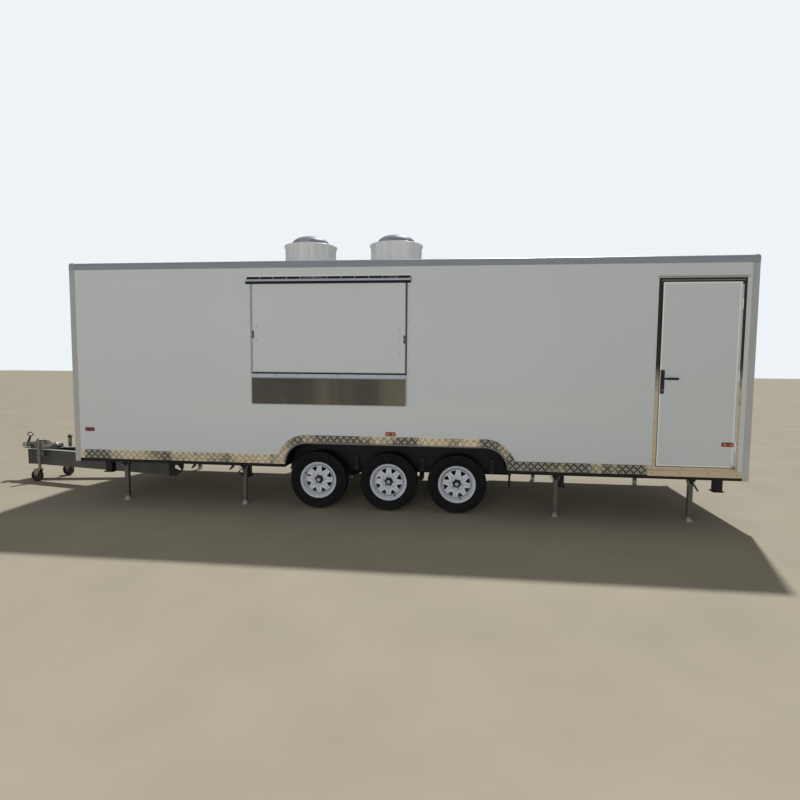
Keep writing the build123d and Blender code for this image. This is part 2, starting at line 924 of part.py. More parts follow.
# Axles and wheels
def hub_and_drum(length):
    """Brake drum, hub and spindle about the Z axis, from the arm outward."""
    spindle = spindle_diameter / 2
    return turned(
        (
            (0, 0),
            (drum_flange / 2, 0),
            (drum_flange / 2, running_clearance),
            (drum_diameter / 2, running_clearance),
            (drum_diameter / 2, drum_width),
            (hub_diameter / 2, drum_width + 2 * running_clearance),
            (spindle, drum_width + 2 * running_clearance),
            (spindle, length - running_clearance),
            (spindle - running_clearance, length),
            (0, length),
        )
    )


def build_axles():
    """Square axle tubes under the rails with trailing arms, drums and spindles."""
    axles = []
    z_tube = rail_bottom - axle_tube / 2
    drop = z_tube - tyre_radius
    tilt = degrees(atan2(drop, trailing_arm))
    arm_y = half_width - well_depth - well_gauge - running_clearance
    for place in axles_from_front:
        x_hub = at(place)
        x_tube = x_hub - trailing_arm
        half = axle_tube / 2
        pieces = [block(x_tube - half, x_tube + half, -arm_y, arm_y, z_tube - half, z_tube + half)]
        for side in (-1, 1):
            y0 = side * (arm_y - 1)
            y1 = y0 + side * arm_thickness
            middle = Pos((x_hub + x_tube) / 2, (y0 + y1) / 2, (z_tube + tyre_radius) / 2)
            bar = Box(hypot(trailing_arm, drop), arm_thickness, arm_height)
            pieces.append(middle * Rot(0, tilt, 0) * bar)
            pieces.append(rod_y(x_hub, tyre_radius, arm_boss, y0, y1))
            pieces.append(rod_y(x_tube, z_tube, arm_tube_boss, y0, y1))
            length = wheel_middle + rim_width / 2 - abs(y1) - 2 * running_clearance
            outward = Rot(90, 0, 0) if side < 0 else Rot(-90, 0, 0)
            pieces.append(Pos(x_hub, y1 - side, tyre_radius) * outward * hub_and_drum(length))
        axles.append(pieces[0] + pieces[1:])
    save("axles", Compound(children=axles))


def wheel_rim():
    """White steel wheel about the Z axis, its street side towards +Z."""
    half = rim_width / 2
    flange = rim_flange / 2
    seat = rim_seat / 2
    well = seat - rim_well_drop
    g = rim_gauge
    # Half of the side that carries the tyre, from the flange to the well, then the inner side
    outer_side = (
        (flange, half),
        (flange, half - rim_lip),
        (seat, half - rim_bead_ledge),
        (seat, half - rim_seat_end),
        (well, half - rim_well_start),
    )
    inner_side = (
        (well - g, half - rim_well_start - g / 3),
        (seat - g, half - rim_seat_end - g / 3),
        (seat - g, half - rim_bead_ledge + g / 3),
        (flange - g, half),
    )
    mirrored_outer = tuple((r, -a) for r, a in reversed(outer_side))
    mirrored_inner = tuple((r, -a) for r, a in reversed(inner_side))
    barrel = turned(outer_side + mirrored_outer + mirrored_inner + inner_side)
    # Dished centre disc with its bolting face, crown and rolled edge
    bore = spindle_diameter / 2 + seat_clearance
    face = half - disc_face_depth
    rim_side = well - g / 2
    edge = half - rim_well_start
    back = disc_gauge
    disc = turned(
        (
            (bore, face),
            (disc_face_radius, face),
            (disc_crown_radius, half - disc_crown_depth),
            (disc_outer_radius, half - disc_outer_depth),
            (rim_side, edge),
            (rim_side, edge - back),
            (disc_outer_radius, half - disc_outer_depth - back),
            (disc_crown_radius, half - disc_crown_depth - back),
            (disc_face_radius, face - back),
            (bore, face - back),
        )
    )
    # Triangular windows with rounded corners
    corners = (
        (window_inner_radius, 0),
        (window_outer_radius, window_half_width),
        (window_outer_radius, -window_half_width),
    )
    window = extrude(make_face(Polyline(*corners, close=True)), half)
    window = fillet(window.edges().filter_by(Axis.Z), window_corner)
    for step in range(window_count):
        disc -= Rot(0, 0, 360 * step / window_count) * window
    return barrel + disc


def tyre():
    """Tyre about the Z axis, seated on the rim with its beads between the flanges."""
    half = tyre_width / 2
    r = tyre_radius
    bead = rim_seat / 2 + seat_clearance
    over_flange = rim_flange / 2 + 3 * seat_clearance
    bulge = (over_flange + r) / 2 - tyre_bulge_drop
    upper = (
        (bead, rim_width / 2 - rim_bead_ledge - seat_clearance),
        (over_flange, rim_width / 2 - rim_lip - seat_clearance),
        (bulge, half),
        (r - tyre_shoulder_drop, half - tyre_shoulder_lean),
        (r, half - tyre_shoulder_width),
    )
    lower = tuple((radius, -height) for radius, height in reversed(upper))
    return turned(upper + lower)


def build_wheels():
    rim = wheel_rim()
    rubber = tyre()
    for side_name, side in (("near", -1), ("far", 1)):
        turn = Rot(90, 0, 0) if side < 0 else Rot(-90, 0, 0)
        for index, place in enumerate(axles_from_front, 1):
            spot = Pos(at(place), side * wheel_middle, tyre_radius)
            save("rim_" + side_name + "_" + str(index), spot * turn * rim)
            save("tyre_" + side_name + "_" + str(index), spot * turn * rubber)


# Drop legs
def drop_leg():
    """Square tube with a rounded top, a pin hole and a foot plate, on the ground."""
    half = leg_tube / 2
    bore = leg_tube - 2 * leg_wall
    section = RectangleRounded(leg_tube, leg_tube, leg_corner)
    section -= RectangleRounded(bore, bore, leg_corner - leg_wall)
    tube = extrude(section, leg_pivot_height + half)
    outline = block(-half, half, -half, half, 0, leg_pivot_height)
    outline += rod_y(0, leg_pivot_height, half, -half, half)
    tube = tube & outline
    tube -= rod_y(0, leg_pivot_height, leg_pin / 2 + 2 * seat_clearance, -leg_tube, leg_tube)
    return tube + rounded_plate(foot_plate, foot_plate, 2 * leg_corner, foot_gauge)


def build_legs():
    leg = drop_leg()
    for side_name, side in (("near", -1), ("far", 1)):
        for index, place in enumerate(legs_from_front, 1):
            save("leg_" + side_name + "_" + str(index), Pos(at(place), side * leg_y, 0) * leg)


# Door
def build_door():
    near = -half_width
    lining = door_frame_face - door_frame_lining
    frame = door_opening(0, near - flange_gauge, near)
    frame += door_opening(-lining, near - flange_gauge, near + wall)
    frame -= door_opening(-door_frame_face, near - 2 * wall, near + 2 * wall)
    frame += block(
        at(sill_left),
        at(sill_right),
        near - flange_gauge,
        near,
        skirt_bottom - sill_drop,
        door_frame_bottom + 1,
    )
    save("door_frame", frame)

    # Leaf with the hinge rod and the leaf plate that carries it
    y0 = near - flange_gauge
    hinge_bottom = door_inner_bottom + door_hinge_trim
    hinge_top = door_inner_top - door_hinge_trim
    leaf = block(
        at(door_inner_left + door_gap),
        at(door_inner_right - door_gap),
        y0,
        y0 + door_thickness,
        door_inner_bottom + door_gap,
        door_inner_top - door_gap,
    )
    leaf += rod_z(
        at(door_inner_right), near - door_hinge_stand, door_hinge_rod / 2, hinge_bottom, hinge_top
    )
    leaf += block(
        at(door_inner_right - 2 * door_gap),
        at(door_inner_right),
        y0 - flange_gauge,
        y0,
        hinge_bottom,
        hinge_top,
    )
    save("door", leaf)

    # Handle plate with a rounded lever
    x = at(door_left + handle_from_frame)
    lever_z = handle_bottom + handle_lever_up
    plate = rounded_plate(handle_width, handle_height, handle_width / 4, handle_gauge - seat_clearance / 3)
    plate = chamfer(plate.faces().sort_by(Axis.Z)[-1].edges(), handle_gauge / 4)
    plate = Pos(x, y0 - seat_clearance / 3, handle_bottom + handle_height / 2) * Rot(90, 0, 0) * plate
    front = y0 - handle_gauge - handle_stand
    bar = block(
        x - handle_bar / 2,
        x + handle_lever,
        front - handle_bar * 0.7,
        front,
        lever_z - handle_bar / 2,
        lever_z + handle_bar / 2,
    )
    bar = fillet(bar.edges().filter_by(Axis.X), handle_round)
    neck = rod_y(x, lever_z, handle_bar / 2, front - 1, y0 - handle_gauge + 1)
    save("door_handle", plate + neck + bar)


# Serving hatch, counter and struts
def strut_bracket(edge, inward):
    """Bracket on the frame's lining and the pad beside a strut's lower eye."""
    lining = at(edge) - inward * (hatch_gap + frame_lining)
    beside_eye = at(edge) + inward * (strut_inset - strut_eye / 2 - seat_clearance)
    reach = strut_eye / 2
    foot = strut_foot_height
    plate = block(
        lining,
        lining + inward * frame_lining,
        wall - half_width - 1,
        strut_y + reach + strut_bracket_margin,
        foot - strut_bracket_height / 2,
        foot + strut_bracket_height / 2,
    )
    return plate + rod_x(strut_y, foot, reach + 1, lining + inward, beside_eye)


def build_hatch():
    near = -half_width
    frame = hatch_opening(hatch_gap + frame_flange, near - flange_gauge, near)
    frame += hatch_opening(hatch_gap + frame_lining, near - flange_gauge, near + wall)
    frame -= hatch_opening(hatch_gap, near - wall, near + 2 * wall)
    for edge, inward in ((hatch_left, 1), (hatch_right, -1)):
        frame += strut_bracket(edge, inward)
    save("hatch_frame", frame)

    # Hinge strip: the part on the wall, the hooded leaf and the pin
    strip_x0 = at(hatch_left - hinge_strip_reach)
    strip_x1 = at(hatch_right + hinge_strip_reach)
    strip_top = hinge_strip_bottom + hinge_strip_height
    hood = (
        (near, hinge_strip_bottom),
        (near - hinge_strip_proud, hinge_strip_bottom),
        (hatch_axis_y, hatch_axis_z + 1),
        (hatch_axis_y, hatch_axis_z + 1 + hinge_leaf_gauge),
        (near - hinge_strip_proud, hinge_strip_bottom + 2 * hinge_leaf_gauge),
        (near - hinge_strip_proud / 2, strip_top),
        (near, strip_top),
    )
    strip = bar_x(hood, strip_x0, strip_x1)
    strip += rod_x(hatch_axis_y, hatch_axis_z, hatch_pin / 2, strip_x0, strip_x1)
    save("hatch_hinge", strip)

    # Leaf with a raised edge profile, and the hinge rail above it
    y0 = near - hatch_proud
    e = hatch_edge
    leaf = block(
        at(hatch_left), at(hatch_right), y0, y0 + hatch_thickness, hatch_bottom, hatch_top
    )
    leaf -= block(
        at(hatch_left) + e,
        at(hatch_right) - e,
        y0 - 1,
        y0 + hatch_edge_proud,
        hatch_bottom + e,
        hatch_top - e,
    )
    rail_face = near - hatch_rail_reach
    rail_view = (
        (near - flange_gauge - 1, hatch_rail_bottom),
        (rail_face + hatch_rail_drop, hatch_rail_bottom),
        (rail_face, hatch_rail_bottom + hatch_rail_drop),
        (rail_face, hatch_rail_top),
        (near - flange_gauge - 1, hatch_rail_top),
    )
    rail = bar_x(rail_view, at(hatch_left - hatch_rail_left), at(hatch_right + hatch_rail_right))
    hatch = leaf + rail
    # Brackets with studs that carry the upper eyes of the struts
    for edge, inward in ((hatch_left, 1), (hatch_right, -1)):
        x_eye = at(edge) + inward * strut_inset
        x_plate = x_eye + inward * (strut_eye / 2 + fork_gauge)
        hatch += block(
            x_plate,
            x_plate + inward * fork_gauge,
            y0 + hatch_thickness - 1,
            strut_y + strut_eye / 2,
            strut_eye_height - strut_eye,
            strut_eye_height + strut_eye,
        )
        hatch += rod_x(
            strut_y, strut_eye_height, strut_stud / 2, x_eye - inward * strut_eye * 0.6, x_plate + inward
        )
    save("hatch", hatch)


def build_counter():
    near = -half_width
    x0 = at(hatch_left)
    x1 = at(counter_right)
    rail = block(
        x0, x1, counter_rail_y, near - flange_gauge, counter_rail_bottom, counter_rail_top
    )
    pin_z = counter_top + counter_pin / 2 + seat_clearance
    rail += rod_x(counter_rail_y, pin_z, counter_pin / 2, x0, x1)
    save("counter_rail", rail)

    # Folded tray: rounded lower corners, open towards the wall
    outer = block(
        x0,
        x1,
        counter_rail_y,
        counter_rail_y + counter_thickness - seat_clearance,
        counter_top - counter_height,
        counter_top,
    )
    lower = outer.edges().filter_by(Axis.Y).group_by(Axis.Z)[0]
    outer = fillet(lower, counter_corner)
    g = counter_gauge
    pocket = block(
        x0 + g,
        x1 - g,
        counter_rail_y + g,
        counter_rail_y + counter_thickness + 1,
        counter_top - counter_height + g,
        counter_top - counter_pin,
    )
    inner = pocket.edges().filter_by(Axis.Y).group_by(Axis.Z)[0]
    pocket = fillet(inner, counter_corner - g)
    counter = outer - pocket
    counter -= rod_x(counter_rail_y, pin_z, counter_pin / 2 + 2 * seat_clearance, x0 - 1, x1 + 1)
    save("counter", counter)


def build_struts():
    """Gas struts: barrel hung on the hatch, rod eye down at the frame."""
    top = strut_eye_height
    foot = strut_foot_height
    low = top - strut_barrel_length
    neck = top - strut_eye / 2
    for name, edge, inward in (("left", hatch_left, 1), ("right", hatch_right, -1)):
        x = at(edge) + inward * strut_inset
        barrel = rod_z(x, strut_y, strut_barrel / 2, low, neck - strut_rod / 2)
        barrel += Pos(x, strut_y, top) * Sphere(strut_eye / 2)
        barrel += rod_z(x, strut_y, strut_rod / 2, neck - strut_rod, top)
        barrel -= rod_z(x, strut_y, strut_rod / 2 + 2 * seat_clearance, low - 1, neck - 2 * strut_rod)
        barrel -= rod_x(strut_y, top, strut_stud / 2 + seat_clearance, x - strut_eye, x + strut_eye)
        save("strut_barrel_" + name, barrel)
        rod = rod_z(x, strut_y, strut_rod / 2, foot, neck - 4 * strut_rod)
        rod += Pos(x, strut_y, foot) * Sphere(strut_eye / 2)
        save("strut_rod_" + name, rod)


# Roof vents
def roof_vent():
    """Round vent: flashing, drum with a rolled lip and a spun dome."""
    r = vent_drum / 2
    g = vent_gauge
    lip = vent_lip / 2
    base = vent_dome / 2
    crown = vent_crown / 2
    deck = vent_drum_height + vent_lip_height / 2
    top = deck + vent_dome_height
    dome = [(base * out, deck + vent_dome_height * up) for out, up in vent_dome_steps]
    outside = [
        (r + vent_flashing, 0),
        (r + vent_flashing, g),
        (r, g),
        (r, deck - vent_lip_height),
        (lip, deck - vent_lip_height),
        (lip, deck),
        (base, deck),
        *dome,
        (crown, top),
        (0, top),
    ]
    lining = [(radius - g, height - g) for radius, height in reversed(dome[1:])]
    inside = [(0, top - g), (crown, top - g), *lining, (base - g, deck - g), (r - g, deck - g), (r - g, 0)]
    return turned(outside + inside)


def build_vents():
    for index, place in enumerate((first_vent_from_front, second_vent_from_front), 1):
        spot = Pos(at(place), -half_width + vent_inset, roof_top)
        save("roof_vent_" + str(index), spot * roof_vent())


# Lamps, mud flaps and drain
def side_lamp(side, middle, height):
    """Marker lamp on a side wall."""
    shape = lens(marker_length, marker_lens, marker_corner, marker_base, lamp_depth)
    return on_side(side, at(middle), height) * shape


def tail_lamp(side):
    """Upright tail lamp with a row of raised lenses on the rear wall."""
    pitch = tail_lamp_height / tail_lamp_lenses
    solid = rounded_plate(tail_lamp_height, tail_lamp_width, tail_lamp_corner, tail_lamp_base)
    face = RectangleRounded(pitch - tail_lamp_base, tail_lamp_width - tail_lamp_base, tail_lamp_corner)
    for index in range(tail_lamp_lenses):
        x = pitch * (index + 0.5) - tail_lamp_height / 2
        raised = extrude(face, tail_lamp_depth - tail_lamp_base, taper=lens_taper)
        solid += Pos(x, 0, tail_lamp_base) * raised
    y = side * (half_width - tail_lamp_inset)
    return Pos(at(body_length), y, tail_lamp_bottom + tail_lamp_height / 2) * Rot(0, 90, 0) * solid


def high_lamp(side):
    """Small lamp high on the rear wall."""
    shape = lens(high_lamp_height, high_lamp_width, marker_corner, marker_base, lamp_depth)
    y = side * (half_width - tail_lamp_inset)
    return Pos(at(body_length), y, roof_top - high_lamp_drop) * Rot(0, 90, 0) * shape


def build_lamps():
    red = []
    amber = []
    red_middle = red_marker_from_front + marker_length / 2
    amber_height = arch_top + arch_band + amber_above_band + marker_lens / 2
    door_middle = door_inner_right - door_gap - door_lamp_edge - marker_length / 2
    for side in (-1, 1):
        red.append(side_lamp(side, red_middle, red_marker_height))
        amber.append(side_lamp(side, middle_axle + amber_behind_axle, amber_height))
        red += [tail_lamp(side), high_lamp(side)]
    amber.append(side_lamp(1, door_middle, door_lamp_height))
    save("lamps_red", Compound(children=red))
    save("lamps_amber", Compound(children=amber))
    on_leaf = Pos(0, -flange_gauge, 0)
    save("door_lamp", on_leaf * side_lamp(-1, door_middle, door_lamp_height))


def build_underbody():
    flaps = []
    x = at(arch_rear + well_gauge + flap_behind_well)
    half = tyre_width / 2
    for side in (-1, 1):
        y = side * wheel_middle
        flap = block(x, x + flap_gauge, y - half, y + half, flap_bottom, rail_bottom)
        flap += block(
            x - flap_gauge, x + 2 * flap_gauge, y - half, y + half, rail_bottom - flap_bar, rail_bottom
        )
        flaps.append(flap)
    save("mud_flaps", Compound(children=flaps))

    x_drain = at(middle_axle + drain_behind_axle)
    y_drain = -(beam_spread_rear + well_rail_outer - rail_width) / 2
    route = FilletPolyline(
        (x_drain, y_drain, rail_top),
        (x_drain, y_drain, drain_height),
        (x_drain, y_drain - drain_reach, drain_height),
        radius=drain_bend,
    )
    section = Plane(route @ 0, z_dir=route % 0) * Circle(drain_diameter / 2)
    save("drain_pipe", sweep(section, route))


build_floor()
build_chassis()
build_drawbar()
build_coupling()
build_jockeys()
build_walls()
build_roof()
build_corner_trims()
build_skirts()
build_wells()
build_axles()
build_wheels()
build_legs()
build_door()
build_hatch()
build_counter()
build_struts()
build_vents()
build_lamps()
build_underbody()
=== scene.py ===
import bmesh
import bpy
from math import atan2, ceil, cos, hypot, pi, radians, sin, sqrt, tan
from mathutils import Matrix, Vector


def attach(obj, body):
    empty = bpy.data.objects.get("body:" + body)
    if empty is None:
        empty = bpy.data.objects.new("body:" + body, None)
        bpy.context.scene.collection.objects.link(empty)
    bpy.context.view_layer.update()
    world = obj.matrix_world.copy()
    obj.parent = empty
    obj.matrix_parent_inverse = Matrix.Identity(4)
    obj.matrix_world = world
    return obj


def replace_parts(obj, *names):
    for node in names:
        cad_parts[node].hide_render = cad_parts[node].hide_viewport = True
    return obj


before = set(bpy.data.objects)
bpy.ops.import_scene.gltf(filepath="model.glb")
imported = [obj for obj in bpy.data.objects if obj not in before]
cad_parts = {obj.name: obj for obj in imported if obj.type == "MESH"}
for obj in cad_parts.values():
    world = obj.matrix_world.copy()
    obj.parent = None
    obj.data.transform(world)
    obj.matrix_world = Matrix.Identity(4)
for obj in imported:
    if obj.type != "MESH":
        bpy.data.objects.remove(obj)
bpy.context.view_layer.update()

# Metres, in the frame of the CAD: +X to the rear, -Y the serving side, +Z up
FRONT_X = -2.955
BODY_LENGTH = 7.6
HALF_WIDTH = 1.1
WALL_FACE = -HALF_WIDTH
FRAME_FACE = WALL_FACE - 0.003
ROOF_TOP = 2.835
NEAR, FAR = -1, 1
SIDES = (("near", NEAR), ("far", FAR))
OUT = (0, -1, 0)
MAT = {}


def at(from_front):
    """Place along the trailer from its distance behind the body's front face."""
    return FRONT_X + from_front


def new_object(name, data):
    made = bpy.data.objects.new(name, data)
    bpy.context.scene.collection.objects.link(made)
    return made


# Camera and stage
CAMERA_LENS, CAMERA_SENSOR = 23.92, 36.0
CAMERA_PLACE = (1.638, -6.966, 1.729)
CAMERA_RIGHT = (0.99352931, 0.11328845, 0.0080763)
CAMERA_DOWN = (0.01633565, -0.07216784, -0.99725872)
CAMERA_FORWARD = (-0.11239505, 0.9909377, -0.07355151)
GROUND_HALF = 60.0
SKY_TINT = (0.93, 0.96, 1.0, 1)
BACKDROP = (0.86, 0.9, 0.94, 1)
SKY_LIGHT, SKY_MIRRORED = 0.15, 0.36
SUN_HEADING, SUN_STRENGTH, SUN_SOFTNESS = (-4.5, -15.3, -25.5), 2.65, 0.035
FILL_PLACE, FILL_TARGET = (-1.0, -15.0, 2.0), (0.5, 0, 1.5)
FILL_SIZE, FILL_POWER = (14.0, 3.0), 950.0


def build_camera():
    data = bpy.data.cameras.new("camera")
    data.lens = CAMERA_LENS
    data.sensor_width = CAMERA_SENSOR
    camera = new_object("camera", data)
    axes = (Vector(CAMERA_RIGHT), -Vector(CAMERA_DOWN), -Vector(CAMERA_FORWARD))
    camera.matrix_world = Matrix.Translation(CAMERA_PLACE) @ Matrix(axes).transposed().to_4x4()
    bpy.context.scene.camera = camera


def new_lamp(name, kind, strength, heading):
    data = bpy.data.lights.new(name, kind)
    data.energy = strength
    lamp = new_object(name, data)
    lamp.rotation_euler = Vector(heading).to_track_quat("-Z", "Y").to_euler()
    return lamp


def build_world():
    """A plain sky whose strength differs for the eye, for mirrors and for matt surfaces."""
    world = bpy.data.worlds.new("studio")
    world.use_nodes = True
    bpy.context.scene.world = world
    tree = world.node_tree
    tree.nodes.remove(tree.nodes["Background"])
    new, link = tree.nodes.new, tree.links.new
    path = new("ShaderNodeLightPath")

    def background(colour, strength):
        node = new("ShaderNodeBackground")
        node.inputs["Color"].default_value = colour
        node.inputs["Strength"].default_value = strength
        return node.outputs[0]

    def choose(ray, otherwise, chosen):
        mix = new("ShaderNodeMixShader")
        link(path.outputs[ray], mix.inputs[0])
        link(otherwise, mix.inputs[1])
        link(chosen, mix.inputs[2])
        return mix.outputs[0]

    lit = choose("Is Glossy Ray", background(SKY_TINT, SKY_LIGHT), background(SKY_TINT, SKY_MIRRORED))
    seen = choose("Is Camera Ray", lit, background(BACKDROP, 1.0))
    link(seen, tree.nodes["World Output"].inputs["Surface"])


def build_stage():
    bpy.context.scene.view_settings.view_transform = "Standard"
    build_world()
    mesh = bpy.data.meshes.new("ground")
    mesh.from_pydata([(x, y, 0) for x, y in square(GROUND_HALF)], [], [(0, 1, 2, 3)])
    mesh.materials.append(MAT["ground_pale"])
    new_object("ground", mesh)
    new_lamp("key", "SUN", SUN_STRENGTH, SUN_HEADING).data.angle = SUN_SOFTNESS
    fill = new_lamp("fill", "AREA", FILL_POWER, Vector(FILL_TARGET) - Vector(FILL_PLACE))
    fill.location = FILL_PLACE
    fill.visible_glossy = False
    fill.data.shape = "RECTANGLE"
    fill.data.size, fill.data.size_y = FILL_SIZE


# Materials
DUST = (0.34, 0.29, 0.22)
EVEN = (1, 1, 1)
RELIEF_DEPTH = 0.002


def surface(
    name, colour, rough, metallic=0.0, vary=0.06, grain=9.0, stretch=EVEN, rough_vary=0.05,
    bump=0.0, bump_grain=80.0, bump_stretch=EVEN, coat=0.0, shine=0.5,
    tint_below=None, spangle=0.0, patch=None, top=None,
):
    """Principled material whose colour, roughness and relief come from noise.

    The low tint is a colour, the heights it fades between and its most: dirt on most materials, the
    galvanised feet of the legs and painted reflection of the sunlit ground on the door frame. A patch
    is a colour, the scale and stretch of its noise and the noise values it comes in between; top colours
    upward faces, a painted highlight of light from above.
    """
    mat = bpy.data.materials.new(name)
    mat.use_nodes = True
    new, link = mat.node_tree.nodes.new, mat.node_tree.links.new
    shader = mat.node_tree.nodes["Principled BSDF"]
    shader.inputs["Metallic"].default_value = metallic
    shader.inputs["Coat Weight"].default_value = coat
    shader.inputs["Specular IOR Level"].default_value = shine
    coords = new("ShaderNodeTexCoord").outputs["Object"]

    def noise(scale, by=EVEN, detail=3.0):
        mapping = new("ShaderNodeMapping")
        mapping.inputs["Scale"].default_value = by
        link(coords, mapping.inputs["Vector"])
        texture = new("ShaderNodeTexNoise")
        texture.inputs["Scale"].default_value = scale
        texture.inputs["Detail"].default_value = detail
        link(mapping.outputs[0], texture.inputs["Vector"])
        return texture.outputs[0]

    def spread(source, low, high, start=0.3, end=0.7):
        ranged = new("ShaderNodeMapRange")
        for socket, value in (("From Min", start), ("From Max", end), ("To Min", low), ("To Max", high)):
            ranged.inputs[socket].default_value = value
        link(source, ranged.inputs["Value"])
        return ranged.outputs[0]

    def blend(factor, first, second):
        mix = new("ShaderNodeMix")
        mix.data_type = "RGBA"
        link(factor, mix.inputs[0])
        for socket, value in ((mix.inputs[6], first), (mix.inputs[7], second)):
            if isinstance(value, tuple):
                socket.default_value = (*value, 1)
            else:
                link(value, socket)
        return mix.outputs[2]

    def upright_part(vector):
        separate = new("ShaderNodeSeparateXYZ")
        link(vector, separate.inputs[0])
        return separate.outputs["Z"]

    dark = tuple(c * (1 - vary) for c in colour)
    light = tuple(min(1.0, c * (1 + vary)) for c in colour)
    tint = blend(spread(noise(grain, stretch), 0, 1), dark, light)
    if patch:
        patch_colour, patch_scale, patch_stretch, low_end, high_end = patch
        share = spread(noise(patch_scale, patch_stretch, 4.0), 0, 1, low_end, high_end)
        tint = blend(share, tint, patch_colour)
    if spangle:
        cells = new("ShaderNodeTexVoronoi")
        cells.inputs["Scale"].default_value = spangle
        link(coords, cells.inputs["Vector"])
        separate = new("ShaderNodeSeparateColor")
        link(cells.outputs["Color"], separate.inputs[0])
        flakes = spread(separate.outputs[0], 0.0, 0.55, 0.0, 1.0)
        tint = blend(flakes, tint, tuple(c * 0.86 for c in colour))
    # Colour fading in towards the bottom: dirt on most materials, the galvanised feet of the legs, and
    # painted reflection of the sunlit ground on the door frame.
    if tint_below:
        tint_below_colour, low_z, high_z, most = tint_below
        patchy = new("ShaderNodeMath")
        patchy.operation = "MULTIPLY"
        link(spread(upright_part(coords), most, 0.0, low_z, high_z), patchy.inputs[0])
        link(spread(noise(5.5, EVEN, 5.0), 0.35, 1.0), patchy.inputs[1])
        tint = blend(patchy.outputs[0], tint, tint_below_colour)
    # Upward faces blend to the top colour: a painted highlight of light falling from above.
    if top:
        facing_up = upright_part(new("ShaderNodeNewGeometry").outputs["Normal"])
        tint = blend(spread(facing_up, 0.0, 1.0, 0.6, 0.9), tint, top)
    link(tint, shader.inputs["Base Color"])
    rough_noise = noise(grain * 1.7, stretch)
    link(spread(rough_noise, rough - rough_vary, rough + rough_vary), shader.inputs["Roughness"])
    if bump:
        relief = new("ShaderNodeBump")
        relief.inputs["Strength"].default_value = bump
        relief.inputs["Distance"].default_value = RELIEF_DEPTH
        link(noise(bump_grain, bump_stretch), relief.inputs["Height"])
        link(relief.outputs[0], shader.inputs["Normal"])
    MAT[name] = mat


